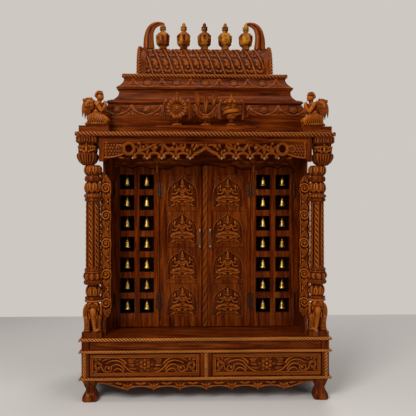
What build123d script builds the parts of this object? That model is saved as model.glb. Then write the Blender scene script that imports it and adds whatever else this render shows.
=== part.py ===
from build123d import *
from math import pi, sin
import os

os.makedirs("parts", exist_ok=True)

# Millimetres. X runs across, Y from the front (minus) to the back, Z up from the floor.
# The origin is on the floor, in the middle of the footprint.

# Base cabinet
base_width = 1196
base_depth = 556
panel_thick = 18
back_thick = 12
foot_height = 105
foot_size = 76
foot_ankle = 46
foot_paw = 72
foot_paw_height = 34
apron_drop = 48
apron_scallop = 16
apron_thick = 18
apron_pitch = 126
front_cusps = 7
side_cusps = 3
floor_thick = 15
drawer_opening = 114
mid_rail_height = 19
tray_opening = 39
deck_thick = 18
stile_width = 35
centre_stile_width = 54
frame_thick = 22

# Rope mouldings
low_rope = 14
middle_rope = 13
deck_rope = 17
stile_rope = 13
base_rope_reach = 12
rope_gap = 0.3

# Drawers and the pull-out tray
running_gap = 5
seat_gap = 0.3
drawer_front_thick = 20
drawer_wall = 10
drawer_bottom = 8
drawer_back_room = 136
drawer_box_height = 92
field_margin = 14
field_depth = 5
tray_lip_height = 32
tray_lip_thick = 20
tray_board = 10
tray_back_room = 236
keyhole_height = 14
keyhole_width = 4
keyhole_depth = 6
keyhole_from_middle = -42

# Pillars on elephants
pillar_inset = 48
pillar_setback = 52
plinth_size = 96
plinth_height = 25
elephant_height = 153
elephant_width = 94
elephant_leg = 13
elephant_head = 27
pillar_foot = 14
pillar_vase = 60
pillar_bulb = 48
pillar_ring = 14
pillar_collar = 24
pillar_upper_vase = 58
pillar_neck = 26
pillar_leaves = 53
shaft_foot_radius = 35
shaft_top_radius = 33
capital_height = 135
capital_width = 104
capital_inset = 26

# Porch and cabinet
wall_height = 967
porch_depth = 203
porch_side_inset = 108
porch_side_thick = 11.5
porch_side_start = 52
roundel_count = 5
roundel_diameter = 40
roundel_relief = 5
bracket_board_inner = 124
bracket_board_width = 28
bracket_board_thick = 14
bracket_board_rise = 70
bracket_board_drop = 166
roundel_inset = 116
lowest_roundel_rise = 142
highest_roundel_drop = 249
cabinet_inset = 94
jamb_width = 40
leaf_thick = 22
leaf_foot_gap = 5
leaf_head_gap = 5
leaf_side_gap = 2
fold_from_half_opening = 4
head_flat_drop = 140
head_flat_inner = 53
head_flat_outer = 51
head_rise = 14
head_cusp_from_fold = 136
head_centre_drop = 120

# Lattice leaves
lattice_inner_stile = 28
lattice_outer_stile = 20
lattice_bar_upright = 26
lattice_hole_height = 77
lattice_rows = 7
lattice_top_drop = 171
lattice_bottom_rise = 74
bell_diameter = 28
bell_height = 38
bell_drop = 18

# Carved leaves
bead_width = 28
bead_reach = 8
door_panel_inner = 37
door_panel_from_fold = 36
door_panel_rows = 4
door_rail = 18
door_panel_top_drop = 171
door_panel_bottom_rise = 59
door_panel_thick = 12
door_panel_setback = 6
hinge_length = 78
hinge_radius = 5
hinge_plate = 20
jamb_plate = 10
hinge_plate_thick = 2
upper_hinge_drop = 289
lower_hinge_rise = 100
handle_length = 100
handle_low_from_mid_height = 67.5
handle_reach = 24
handle_radius = 3.5
handle_ball = 6.5
button_width = 20
button_long_arm = 35
button_short_arm = 10
button_thick = 7
button_gap = 1
button_from_fold = 14
button_pivot_drop = 130

# Canopy
canopy_overhang = 12
canopy_thick = 23
canopy_rope_reach = 12
fascia_height = 20
fascia_setback = 6
fascia_thick = 14
frieze_height = 89
frieze_thick = 14
frieze_rail = 14
frieze_first = 76
frieze_arches = 4
bracket_width = 138
frieze_bar = 8
pendant_radius = 6
bracket_hole = 17
corner_block_width = 23.5
corner_block_height = 117
corner_block_depth = 37
corner_block_inset = 108

# Roof
step_inset = 85
step_setback = 128
lower_step_height = 70
upper_step_height = 29
upper_step_inset = 6
lower_cornice_height = 59
lower_cornice_foot_inset = 10
lower_cornice_head_inset = 25
torus_height = 22
torus_inset = 25
torus_bulge = 9
cove_height = 64
cove_foot_inset = 40
cove_head_inset = 70
lip_height = 8
lip_inset = 61
upper_cornice_height = 57
upper_cornice_foot_inset = 65
upper_cornice_head_inset = 101
roof_rope = 22
roof_rope_inset = 94
barrel_height = 159
barrel_end_inset = 122
barrel_side_inset = 21
gable_thick = 26
gable_margin = 8
rim_thick = 24
rim_margin = 14
horn_width = 62
horn_thick = 30
finial_row_inset = 84
finial_count = 5

# Emblems and kneeling figures on the canopy
platform_width = 477
ribbon_drop = 64
platform_depth = 62
platform_height = 30
emblem_setback = 38
disc_from_middle = 140
disc_radius = 50
disc_thick = 12
disc_seat = 2
stem_height = 41
conch_from_middle = 129
figure_plinth_width = 141
figure_plinth_depth = 100
figure_plinth_height = 28
figure_height = 178
figure_width = 122
figure_depth = 84

# Levels and faces worked out from the sizes above
back_face = (base_depth + canopy_overhang + canopy_rope_reach) / 2
base_front = back_face - base_depth
base_half = base_width / 2
floor_top = foot_height + floor_thick
rail_bottom = floor_top + drawer_opening
rail_top = rail_bottom + mid_rail_height
deck_bottom = rail_top + tray_opening
deck_top = deck_bottom + deck_thick
canopy_bottom = deck_top + wall_height
canopy_top = canopy_bottom + canopy_thick
canopy_front = base_front - canopy_overhang
canopy_half = base_half + canopy_overhang
frame_back = base_front + frame_thick
inner_back = back_face - back_thick
door_front = base_front + porch_depth
door_back = door_front + leaf_thick
door_middle = (door_front + door_back) / 2
cabinet_half = base_half - cabinet_inset
cabinet_width = 2 * cabinet_half
cabinet_inner = cabinet_half - panel_thick
jamb_inner = cabinet_half - jamb_width
fascia_bottom = canopy_bottom - fascia_height
frieze_bottom = fascia_bottom - frieze_height
pillar_axis = base_front + pillar_setback
pillar_from_middle = base_half - pillar_inset
capital_from_middle = base_half - capital_inset
corner_block_inner = base_half - corner_block_inset
porch_side_inner = base_half - porch_side_inset
bracket_board_start = base_half - bracket_board_inner
roundel_from_middle = base_half - roundel_inset
leaf_bottom = deck_top + leaf_foot_gap
drawer_depth = base_depth - drawer_back_room
tray_depth = base_depth - tray_back_room

# Places on the doors and the porch, from the deck, the canopy and the line where the leaves meet
fold_line = jamb_inner / 2 + fold_from_half_opening
head_flat = canopy_bottom - head_flat_drop
head_centre = canopy_bottom - head_centre_drop
head_flat_start = fold_line - head_flat_inner
head_flat_end = fold_line + head_flat_outer
head_cusp_from_middle = fold_line - head_cusp_from_fold
lattice_top = canopy_bottom - lattice_top_drop
lattice_bottom = deck_top + lattice_bottom_rise
lattice_pitch = (lattice_top - lattice_bottom - lattice_hole_height) / (lattice_rows - 1)
lattice_width = jamb_inner - fold_line - 2 * leaf_side_gap
lattice_hole_width = (lattice_width - lattice_inner_stile - lattice_outer_stile - lattice_bar_upright) / 2
door_panel_outer = fold_line - door_panel_from_fold
door_panel_top = canopy_bottom - door_panel_top_drop
door_panel_bottom = deck_top + door_panel_bottom_rise
upper_hinge = canopy_bottom - upper_hinge_drop
lower_hinge = deck_top + lower_hinge_rise
handle_low = (deck_top + canopy_bottom) / 2 - handle_low_from_mid_height
button_from_middle = fold_line + button_from_fold
button_pivot = canopy_bottom - button_pivot_drop
lowest_roundel = deck_top + lowest_roundel_rise
highest_roundel = canopy_bottom - highest_roundel_drop
roundel_pitch = (highest_roundel - lowest_roundel) / (roundel_count - 1)
frieze_pitch = (corner_block_inner - bracket_width - frieze_first) / frieze_arches

# Roof courses, from the canopy that they stand on
step_half_width = canopy_half - step_inset
step_half_depth = (back_face - canopy_front - step_setback) / 2
lower_cornice_foot = step_half_width - lower_cornice_foot_inset
lower_cornice_head = step_half_width - lower_cornice_head_inset
torus_half_width = step_half_width - torus_inset
cove_foot = step_half_width - cove_foot_inset
cove_head = step_half_width - cove_head_inset
lip_half_width = step_half_width - lip_inset
upper_cornice_foot = step_half_width - upper_cornice_foot_inset
upper_cornice_head = step_half_width - upper_cornice_head_inset
roof_rope_half_width = step_half_width - roof_rope_inset
barrel_half_width = roof_rope_half_width - barrel_end_inset
barrel_half_depth = step_half_depth - roof_rope_inset - barrel_side_inset
finial_pitch = 2 * (barrel_half_width - finial_row_inset) / (finial_count - 1)


def save(piece, name):
    piece.part.label = name
    export_step(piece.part, f"parts/{name}.step")


def block(x0, x1, y0, y1, z0, z1, mode=Mode.ADD):
    with Locations((x0, y0, z0)):
        Box(x1 - x0, y1 - y0, z1 - z0, align=(Align.MIN, Align.MIN, Align.MIN), mode=mode)


def slab(name, x0, x1, y0, y1, z0, z1):
    with BuildPart() as piece:
        block(x0, x1, y0, y1, z0, z1)
    save(piece, name)


def facing(y, x=0):
    # A drawing plane at depth y that looks to the front: across is +X and up is +Z
    return Plane(origin=(x, y, 0), x_dir=(1, 0, 0), z_dir=(0, -1, 0))


def sideways(x, y=0):
    # A drawing plane at x that looks to the right: across is +Y and up is +Z
    return Plane(origin=(x, y, 0), x_dir=(0, 1, 0), z_dir=(1, 0, 0))


def spread(side, near, far):
    # The two X values of something that lies between near and far from the middle, on one side
    return (near, far) if side > 0 else (-far, -near)


def draw_turning(base, members):
    # Half of a turned outline. Each member has a height and its lower, middle and upper radius
    level = base
    radius = 0
    for height, lower, middle, upper in members:
        if lower != radius:
            Line((radius, level), (lower, level))
        if middle is None:
            Line((lower, level), (upper, level + height))
        else:
            ThreePointArc((lower, level), (middle, level + height / 2), (upper, level + height))
        level += height
        radius = upper
    Line((radius, level), (0, level))
    Line((0, level), (0, base))


def turn(x, y, base, members):
    with BuildSketch(facing(y, x)) as profile:
        with BuildLine():
            draw_turning(base, members)
        make_face()
    revolve(profile.sketch, axis=Axis((x, y, 0), (0, 0, 1)))


def draw_rope(face, reach, low, high):
    # A round rope with a flat back that lies on the board at face
    radius = (high - low) / 2
    with Locations((face - reach + radius, (low + high) / 2)):
        Circle(radius)
    with Locations((face + radius, (low + high) / 2)):
        Rectangle(2 * radius, 4 * radius, mode=Mode.SUBTRACT)


def rope_round_three_sides(half, front, reach, low, high):
    # The front rope runs the full width, and the side ropes stop against it
    with BuildSketch(sideways(-half - reach)) as front_rope:
        draw_rope(front, reach, low, high)
    extrude(front_rope.sketch, amount=2 * (half + reach))
    with BuildSketch(facing(back_face)) as side_ropes:
        draw_rope(-half, reach, low, high)
        mirror(about=Plane.YZ)
    extrude(side_ropes.sketch, amount=back_face - front - rope_gap)


def draw_valance(half, top, cusp_level, pitch, cusps, rise):
    # A board with a scalloped lower edge: cusps at an even pitch, and an arc between each two
    first = -(cusps - 1) * pitch / 2
    shoulder = cusp_level + (top - cusp_level) * 0.8
    with BuildLine() as outline:
        Line((-half, shoulder), (-half, top))
        Line((-half, top), (half, top))
        Line((half, top), (half, shoulder))
        last = -first
        ThreePointArc(
            (half, shoulder),
            ((half + last) / 2, (shoulder + cusp_level) / 2 + rise / 3),
            (last, cusp_level),
        )
        for index in range(cusps - 1):
            start = last - index * pitch
            ThreePointArc(
                (start, cusp_level), (start - pitch / 2, cusp_level + rise), (start - pitch, cusp_level)
            )
        ThreePointArc(
            (first, cusp_level),
            ((-half + first) / 2, (shoulder + cusp_level) / 2 + rise / 3),
            (-half, shoulder),
        )
    make_face(outline.edges())


# Feet: a square knee, a thin ankle and a broad paw
foot_middle = base_half - foot_size / 2
foot_sections = (
    (0, foot_paw * 0.94),
    (foot_paw_height * 0.4, foot_paw),
    (foot_paw_height, foot_ankle),
    (foot_height * 0.62, foot_size * 0.86),
    (foot_height, foot_size),
)
with BuildPart() as foot:
    for level, width in foot_sections:
        with BuildSketch(Plane.XY.offset(level)):
            RectangleRounded(width, width, width * 0.22)
    loft(ruled=True)
with BuildPart() as feet:
    foot_rows = (base_front + foot_size / 2, back_face - foot_size / 2)
    with Locations(*[(side * foot_middle, y) for side in (-1, 1) for y in foot_rows]):
        add(foot.part)
save(feet, "feet")

# Aprons between the feet
apron_half = base_half - foot_size - rope_gap
cusp_level = foot_height - apron_drop
side_apron_half = base_depth / 2 - foot_size - rope_gap
side_apron_middle = (base_front + back_face) / 2
with BuildPart() as aprons:
    with BuildSketch(facing(base_front + apron_thick)):
        draw_valance(apron_half, foot_height, cusp_level, apron_pitch, front_cusps, apron_scallop)
    extrude(amount=apron_thick)
    for side in (-1, 1):
        with BuildSketch(sideways(side * base_half, side_apron_middle)):
            draw_valance(side_apron_half, foot_height, cusp_level, apron_pitch, side_cusps, apron_scallop)
        extrude(amount=-side * apron_thick)
    block(
        -apron_half, apron_half, back_face - apron_thick, back_face,
        foot_height - apron_drop / 2, foot_height,
    )
save(aprons, "aprons")

# Base carcass
slab("base_floor", -base_half, base_half, base_front, back_face, foot_height, floor_top)
slab("base_deck", -base_half, base_half, base_front, back_face, deck_bottom, deck_top)
slab("base_back", -base_half, base_half, inner_back, back_face, floor_top, deck_bottom)
side_inner = base_half - panel_thick
with BuildPart() as base_sides:
    for side in (-1, 1):
        x0, x1 = spread(side, side_inner, base_half)
        block(x0, x1, frame_back, inner_back, floor_top, deck_bottom)
save(base_sides, "base_sides")
divider_half = panel_thick / 2
slab("drawer_divider", -divider_half, divider_half, frame_back, inner_back, floor_top, rail_bottom)
slab("mid_rail", -base_half, base_half, base_front, frame_back, rail_bottom, rail_top)
dust_board_thick = 10
slab("dust_board", -side_inner, side_inner, frame_back, inner_back, rail_top - dust_board_thick, rail_top)
with BuildPart() as base_stiles:
    half_centre = centre_stile_width / 2
    block(-half_centre, half_centre, base_front, frame_back, floor_top, rail_bottom)
    for side in (-1, 1):
        x0, x1 = spread(side, base_half - stile_width, base_half)
        block(x0, x1, base_front, frame_back, floor_top, rail_bottom)
        block(x0, x1, base_front, frame_back, rail_top, deck_bottom)
save(base_stiles, "base_stiles")

# Rope mouldings of the base: three level ones round it, and an upright one on each stile
rail_middle = (rail_bottom + rail_top) / 2
rope_levels = (
    (foot_height + 0.5, foot_height + 0.5 + low_rope),
    (rail_middle - middle_rope / 2, rail_middle + middle_rope / 2),
    (deck_top - 0.5 - deck_rope, deck_top - 0.5),
)
stile_middle = base_half - stile_width / 2
stile_rope_low = rope_levels[0][1] + rope_gap
stile_rope_high = rope_levels[1][0] - rope_gap
with BuildPart() as base_ropes:
    for low, high in rope_levels:
        rope_round_three_sides(base_half, base_front, base_rope_reach, low, high)
    with BuildSketch(Plane.XY.offset(stile_rope_low)):
        with Locations(*[(x, base_front - base_rope_reach + stile_rope / 2 + 1)
                         for x in (-stile_middle, 0, stile_middle)]):
            Circle(stile_rope / 2)
        with Locations((0, base_front)):
            Rectangle(
                2 * base_half, 2 * stile_rope, align=(Align.CENTER, Align.MIN), mode=Mode.SUBTRACT
            )
    extrude(amount=stile_rope_high - stile_rope_low)
save(base_ropes, "base_ropes")

# Drawers: a front with a sunk field for the carving, and an open box behind it
opening_near = centre_stile_width / 2
opening_far = base_half - stile_width
for side, hand in ((-1, "left"), (1, "right")):
    x0, x1 = spread(side, opening_near + running_gap, opening_far - running_gap)
    z0 = floor_top + running_gap
    z1 = rail_bottom - running_gap
    front_back = base_front + drawer_front_thick
    with BuildPart() as drawer_front:
        block(x0, x1, base_front, front_back, z0, z1)
        block(
            x0 + field_margin, x1 - field_margin, base_front, base_front + field_depth,
            z0 + field_margin, z1 - field_margin, Mode.SUBTRACT,
        )
    save(drawer_front, f"drawer_front_{hand}")
    bottom = floor_top + seat_gap
    with BuildPart() as drawer_box:
        block(x0, x1, front_back, front_back + drawer_depth, bottom, bottom + drawer_box_height)
        block(
            x0 + drawer_wall, x1 - drawer_wall, front_back + drawer_wall,
            front_back + drawer_depth - drawer_wall, bottom + drawer_bottom,
            bottom + drawer_box_height, Mode.SUBTRACT,
        )
    save(drawer_box, f"drawer_box_{hand}")

# Pull-out tray: a lip with a keyhole, and a flat board behind it
tray_half = opening_far - running_gap
tray_middle = (rail_top + deck_bottom) / 2
with BuildPart() as tray_lip:
    block(
        -tray_half, tray_half, base_front, base_front + tray_lip_thick,
        tray_middle - tray_lip_height / 2, tray_middle + tray_lip_height / 2,
    )
    with BuildSketch(facing(base_front)):
        with Locations((keyhole_from_middle, tray_middle)):
            SlotOverall(keyhole_height, keyhole_width, rotation=90)
    extrude(amount=-keyhole_depth, mode=Mode.SUBTRACT)
save(tray_lip, "tray_lip")
slab(
    "tray_board", -tray_half, tray_half, base_front + tray_lip_thick, base_front + tray_depth,
    rail_top + seat_gap, rail_top + seat_gap + tray_board,
)

# Pillars, each on an elephant that stands on a square plinth
plinth_top = deck_top + plinth_height
pillar_base = plinth_top + elephant_height
capital_bottom = canopy_bottom - capital_height
capital_axis = canopy_front + capital_width / 2 + 1
below_shaft = (
    (pillar_foot, 40, 42, 40),
    (pillar_vase, 29, 36, 25),
    (3, 40, None, 45),
    (14, 45, 46.5, 45),
    (pillar_bulb, 41, 46.5, 41),
    (pillar_ring, 38, 43, 38),
)
above_shaft = (
    (pillar_ring, 38, 41, 38),
    (pillar_collar, 35, 42, 35),
    (pillar_upper_vase, 36, 42, 30),
    (pillar_neck, 36, 40.5, 36),
    (pillar_leaves, 33, 40, 34),
)
turned_height = sum(member[0] for member in below_shaft + above_shaft)
shaft_height = capital_bottom - pillar_base - turned_height
shaft = ((shaft_height, shaft_foot_radius, None, shaft_top_radius),)
pillar_members = below_shaft + shaft + above_shaft
capital_sections = (
    (0, 0.42), (0.10, 0.66), (0.25, 0.86), (0.36, 0.90), (0.42, 0.72),
    (0.55, 0.76), (0.74, 0.82), (0.78, 0.99), (0.89, 1.0), (1.0, 0.96),
)
pillar_axes = (-pillar_from_middle, pillar_from_middle)
with BuildPart() as plinths:
    with Locations(*[(x, pillar_axis, deck_top) for x in pillar_axes]):
        Box(plinth_size, plinth_size, plinth_height, align=(Align.CENTER, Align.CENTER, Align.MIN))
save(plinths, "plinths")

leg_across = elephant_width / 2 - elephant_leg - 6
leg_along = plinth_size / 2 - elephant_leg - 6
body_low = elephant_height * 0.28
body_high = elephant_height - 6
body_shift = 4
head_y = elephant_head - plinth_size / 2
head_z = elephant_height * 0.62
ear_width = 17
trunk_low = 4
with BuildPart() as elephant:
    with Locations(*[(i * leg_across, j * leg_along + body_shift, 0) for i in (-1, 1) for j in (-1, 1)]):
        Cone(
            elephant_leg, elephant_leg * 1.1, elephant_height / 2,
            align=(Align.CENTER, Align.CENTER, Align.MIN),
        )
    for level, wide, long in (
        (body_low, 0.62, 0.74), (body_low + 18, 0.82, 0.86), ((body_low + body_high) / 2, 0.86, 0.88),
        (body_high - 18, 0.74, 0.80), (body_high, 0.5, 0.6),
    ):
        with BuildSketch(Plane.XY.offset(level)):
            with Locations((0, body_shift)):
                RectangleRounded(elephant_width * wide, plinth_size * long, 20)
    loft(ruled=True)
    with Locations((0, head_y, head_z)):
        Sphere(elephant_head)
    with Locations((0, head_y - elephant_head * 0.45, trunk_low)):
        Cone(7, 13, head_z - trunk_low, align=(Align.CENTER, Align.CENTER, Align.MIN))
    with BuildSketch(facing(head_y + 8)):
        with Locations(*[(ear * (elephant_width / 2 - ear_width), head_z) for ear in (-1, 1)]):
            Ellipse(ear_width, ear_width * 1.6)
    extrude(amount=8)
    with Locations((0, 0, body_high)):
        Cylinder(34, elephant_height - body_high, align=(Align.CENTER, Align.CENTER, Align.MIN))
with BuildPart() as elephants:
    with Locations(*[(x, pillar_axis, plinth_top) for x in pillar_axes]):
        add(elephant.part)
save(elephants, "elephants")

with BuildPart() as pillar:
    turn(0, 0, pillar_base, pillar_members)
with BuildPart() as pillars:
    with Locations(*[(x, pillar_axis, 0) for x in pillar_axes]):
        add(pillar.part)
save(pillars, "pillars")

with BuildPart() as capital:
    for share, width in capital_sections:
        with BuildSketch(Plane.XY.offset(share * capital_height)):
            RectangleRounded(capital_width * width, capital_width * width, capital_width * 0.16)
    loft(ruled=True)
with BuildPart() as capitals:
    with Locations(*[(side * capital_from_middle, capital_axis, capital_bottom) for side in (-1, 1)]):
        add(capital.part)
save(capitals, "capitals")

with BuildPart() as corner_blocks:
    block_front = base_front + fascia_setback
    for side in (-1, 1):
        x0, x1 = spread(side, corner_block_inner, corner_block_inner + corner_block_width)
        block(
            x0, x1, block_front, block_front + corner_block_depth,
            canopy_bottom - corner_block_height, canopy_bottom,
        )
save(corner_blocks, "corner_blocks")

# Porch sides, each with a carved bracket board at its front edge that bears five round bosses
boss_levels = [lowest_roundel + i * roundel_pitch for i in range(roundel_count)]
bracket_face = base_front + porch_side_start
with BuildPart() as porch_sides:
    for side in (-1, 1):
        x0, x1 = spread(side, porch_side_inner, porch_side_inner + porch_side_thick)
        block(x0, x1, bracket_face, door_front, deck_top, canopy_bottom)
        x0, x1 = spread(side, bracket_board_start, bracket_board_start + bracket_board_width)
        block(
            x0, x1, bracket_face, bracket_face + bracket_board_thick,
            deck_top + bracket_board_rise, canopy_bottom - bracket_board_drop,
        )
        with BuildSketch(facing(bracket_face)):
            with Locations(*[(side * roundel_from_middle, level) for level in boss_levels]):
                Circle(roundel_diameter / 2)
        extrude(amount=roundel_relief)
save(porch_sides, "porch_sides")
with BuildPart() as cabinet_sides:
    for side in (-1, 1):
        x0, x1 = spread(side, cabinet_inner, cabinet_half)
        block(x0, x1, door_back, inner_back, deck_top, canopy_bottom)
save(cabinet_sides, "cabinet_sides")
with BuildPart() as jambs:
    for side in (-1, 1):
        x0, x1 = spread(side, jamb_inner, cabinet_half)
        block(x0, x1, door_front, door_back, deck_top, canopy_bottom)
save(jambs, "jambs")
slab("cabinet_back", -cabinet_half, cabinet_half, inner_back, back_face, deck_top, canopy_bottom)


def head_line(side, near, far, drop):
    # The scalloped line between the header and the leaves, from near to far from the middle,
    # lowered by drop: a centre arch, a cusp, a small arch, a flat, then two small arches
    outer_cusp = (head_flat_end + jamb_inner) / 2
    cusp = head_flat + head_rise / 2
    arcs = (
        (0, head_centre, head_cusp_from_middle, cusp, head_rise / 2),
        (head_cusp_from_middle, cusp, head_flat_start, head_flat, head_rise),
        (head_flat_start, head_flat, head_flat_end, head_flat, 0),
        (head_flat_end, head_flat, outer_cusp, head_flat, head_rise),
        (outer_cusp, head_flat, jamb_inner, head_flat, head_rise),
    )
    for x0, z0, x1, z1, rise in arcs:
        start = max(x0, near)
        stop = min(x1, far)
        if stop - start < 1:
            continue
        middle = (start + stop) / 2
        heights = []
        for x in (start, middle, stop):
            share = (x - x0) / (x1 - x0)
            bulge = 4 * share * (1 - share) * rise
            heights.append(z0 + (z1 - z0) * share + bulge - drop)
        if rise == 0:
            Line((side * start, heights[0]), (side * stop, heights[2]))
        else:
            ThreePointArc(
                (side * start, heights[0]), (side * middle, heights[1]), (side * stop, heights[2])
            )


def draw_leaf(side, near, far):
    # A door leaf whose top follows the header; near may lie past the middle
    with BuildLine() as outline:
        start = max(near, 0)
        head_line(side, start, far, leaf_head_gap)
        top_near = sorted(outline.vertices(), key=lambda v: v.X * side)[0]
        top_far = sorted(outline.vertices(), key=lambda v: v.X * side)[-1]
        near_top = (side * near, top_near.Y)
        if near < 0:
            Line((top_near.X, top_near.Y), near_top)
        Line(near_top, (side * near, leaf_bottom))
        Line((side * near, leaf_bottom), (side * far, leaf_bottom))
        Line((side * far, leaf_bottom), (top_far.X, top_far.Y))
    make_face(outline.edges())


with BuildPart() as header:
    with BuildSketch(facing(door_back)):
        with BuildLine():
            for side in (-1, 1):
                head_line(side, 0, jamb_inner, 0)
                Line((side * jamb_inner, head_flat), (side * jamb_inner, canopy_bottom))
            Line((-jamb_inner, canopy_bottom), (jamb_inner, canopy_bottom))
        make_face()
    extrude(amount=leaf_thick)
save(header, "header")

# Lattice leaves with a bell in each opening
lattice_near = fold_line + leaf_side_gap
lattice_far = jamb_inner - leaf_side_gap
first_hole = lattice_near + lattice_inner_stile + lattice_hole_width / 2
hole_step = lattice_hole_width + lattice_bar_upright
hole_spots = [
    (first_hole + column * hole_step, lattice_top - lattice_hole_height / 2 - row * lattice_pitch)
    for column in range(2) for row in range(lattice_rows)
]
bell_members = (
    (6, bell_diameter / 2, None, bell_diameter * 0.43),
    (bell_height * 0.42, bell_diameter * 0.40, None, bell_diameter * 0.34),
    (bell_height * 0.42, bell_diameter * 0.34, bell_diameter * 0.30, bell_diameter * 0.12),
    (bell_drop + bell_height * 0.16 - 6, 1.6, None, 1.6),
)
bell_total = sum(member[0] for member in bell_members)
with BuildPart() as lattice_leaves:
    for side in (-1, 1):
        with BuildSketch(facing(door_back)):
            draw_leaf(side, lattice_near, lattice_far)
            with Locations(*[(side * x, z) for x, z in hole_spots]):
                Rectangle(lattice_hole_width, lattice_hole_height, mode=Mode.SUBTRACT)
        extrude(amount=leaf_thick)
save(lattice_leaves, "lattice_leaves")
with BuildPart() as bell:
    turn(0, 0, -bell_total, bell_members)
with BuildPart() as bells:
    with Locations(*[(side * x, door_middle, z + lattice_hole_height / 2)
                     for side in (-1, 1) for x, z in hole_spots]):
        add(bell.part)
save(bells, "bells")

# Carved leaves. The right one carries the bead that covers the meeting line
panel_clear = door_panel_top - door_panel_bottom - (door_panel_rows - 1) * door_rail
panel_height = panel_clear / door_panel_rows
panel_width = door_panel_outer - door_panel_inner
panel_spots = [
    ((door_panel_inner + door_panel_outer) / 2,
     door_panel_bottom + panel_height / 2 + row * (panel_height + door_rail))
    for row in range(door_panel_rows)
]
leaf_near = {-1: bead_width / 2 + running_gap, 1: -bead_width / 2}
leaf_far = fold_line - leaf_side_gap
bead_top = head_centre - leaf_head_gap
for side, hand in ((-1, "left"), (1, "right")):
    with BuildPart() as door_frame:
        with BuildSketch(facing(door_back)):
            draw_leaf(side, leaf_near[side], leaf_far)
            with Locations(*[(side * x, z) for x, z in panel_spots]):
                Rectangle(panel_width, panel_height, mode=Mode.SUBTRACT)
        extrude(amount=leaf_thick)
        if side > 0:
            with BuildSketch(Plane.XY.offset(leaf_bottom)):
                with Locations((0, door_front)):
                    Ellipse(bead_width / 2, bead_reach)
                    Rectangle(
                        2 * bead_width, 2 * bead_reach, align=(Align.CENTER, Align.MIN), mode=Mode.SUBTRACT
                    )
            extrude(amount=bead_top - leaf_bottom)
    save(door_frame, f"door_frame_{hand}")
    panel_front = door_front + door_panel_setback
    with BuildPart() as door_panels:
        with BuildSketch(facing(panel_front + door_panel_thick)):
            with Locations(*[(side * x, z) for x, z in panel_spots]):
                Rectangle(panel_width, panel_height)
        extrude(amount=door_panel_thick)
    save(door_panels, f"door_panels_{hand}")

# Hinges: the knuckles stand on the face, so that the leaves open to the front. The knuckles
# above and below belong to the lattice leaf, and the one between them to the carved leaf
knuckle = hinge_length / 3
hinge_axis = door_front - hinge_radius
hinge_levels = (lower_hinge, upper_hinge)
from_below = (Align.CENTER, Align.CENTER, Align.MIN)
with BuildPart() as fixed_hinges:
    for side in (-1, 1):
        for low in hinge_levels:
            for shift in (0, 2 * knuckle):
                with Locations((side * fold_line, hinge_axis, low + shift)):
                    Cylinder(hinge_radius, knuckle - seat_gap, align=from_below)
                x0, x1 = spread(side, fold_line, fold_line + hinge_plate)
                block(
                    x0, x1, door_front - hinge_plate_thick, door_front, low + shift,
                    low + shift + knuckle - seat_gap,
                )
            x0, x1 = spread(side, fold_line + hinge_radius + 1, fold_line + hinge_plate)
            block(x0, x1, door_front - hinge_plate_thick, door_front, low, low + hinge_length - seat_gap)
            with Locations((side * jamb_inner, hinge_axis, low)):
                Cylinder(hinge_radius, hinge_length, align=from_below)
            x0, x1 = spread(side, jamb_inner, jamb_inner + jamb_plate)
            block(x0, x1, door_front - hinge_plate_thick, door_front, low, low + hinge_length)
save(fixed_hinges, "fixed_hinges")

# Bow handles with ball ends beside the meeting line, in one node with the leaf's hinge halves
handle_levels = (handle_low + handle_ball, handle_low + handle_length - handle_ball)
bow_y = door_front - handle_reach
bow_bend = 12
for side, hand in ((-1, "left"), (1, "right")):
    handle_x = side * (max(leaf_near[side], bead_width / 2) + door_panel_inner) / 2
    with BuildPart() as door_fittings:
        with BuildLine(Plane(origin=(handle_x, 0, 0), x_dir=(0, 1, 0), z_dir=(1, 0, 0))) as bow:
            FilletPolyline(
                (door_front, handle_levels[0]), (bow_y, handle_levels[0]),
                (bow_y, handle_levels[1]), (door_front, handle_levels[1]), radius=bow_bend,
            )
        with BuildSketch(facing(door_front, handle_x)):
            with Locations((0, handle_levels[0])):
                Circle(handle_radius)
        sweep()
        for level in handle_levels:
            with Locations((handle_x, bow_y + bow_bend, level)):
                Sphere(handle_ball)
            with Locations(Location((handle_x, door_front, level), (90, 0, 0))):
                Cylinder(handle_ball, 2, align=from_below)
        for low in hinge_levels:
            with Locations((side * fold_line, hinge_axis, low + knuckle)):
                Cylinder(hinge_radius, knuckle - seat_gap, align=from_below)
            x0, x1 = spread(side, fold_line - hinge_plate, fold_line)
            block(
                x0, x1, door_front - hinge_plate_thick, door_front, low + knuckle,
                low + 2 * knuckle - seat_gap,
            )
            x0, x1 = spread(side, fold_line - hinge_plate, fold_line - hinge_radius - 1)
            block(x0, x1, door_front - hinge_plate_thick, door_front, low, low + hinge_length - seat_gap)
    save(door_fittings, f"door_fittings_{hand}")

# Turn buttons screwed to the header, hanging over the top rail of the lattice leaf
for side, hand in ((-1, "left"), (1, "right")):
    button_x = side * button_from_middle
    button_back = door_front - button_gap
    with BuildPart() as button:
        with BuildSketch(facing(button_back)):
            with Locations((button_x, button_pivot + (button_short_arm - button_long_arm) / 2)):
                RectangleRounded(button_width, button_long_arm + button_short_arm, button_width * 0.4)
        extrude(amount=button_thick)
        with BuildSketch(facing(door_front - seat_gap)):
            with Locations((button_x, button_pivot)):
                Circle(button_width * 0.3)
        extrude(amount=button_gap)
        with Locations((button_x, button_back - button_thick, button_pivot)):
            Sphere(button_width * 0.2)
    save(button, f"turn_button_{hand}")

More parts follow.
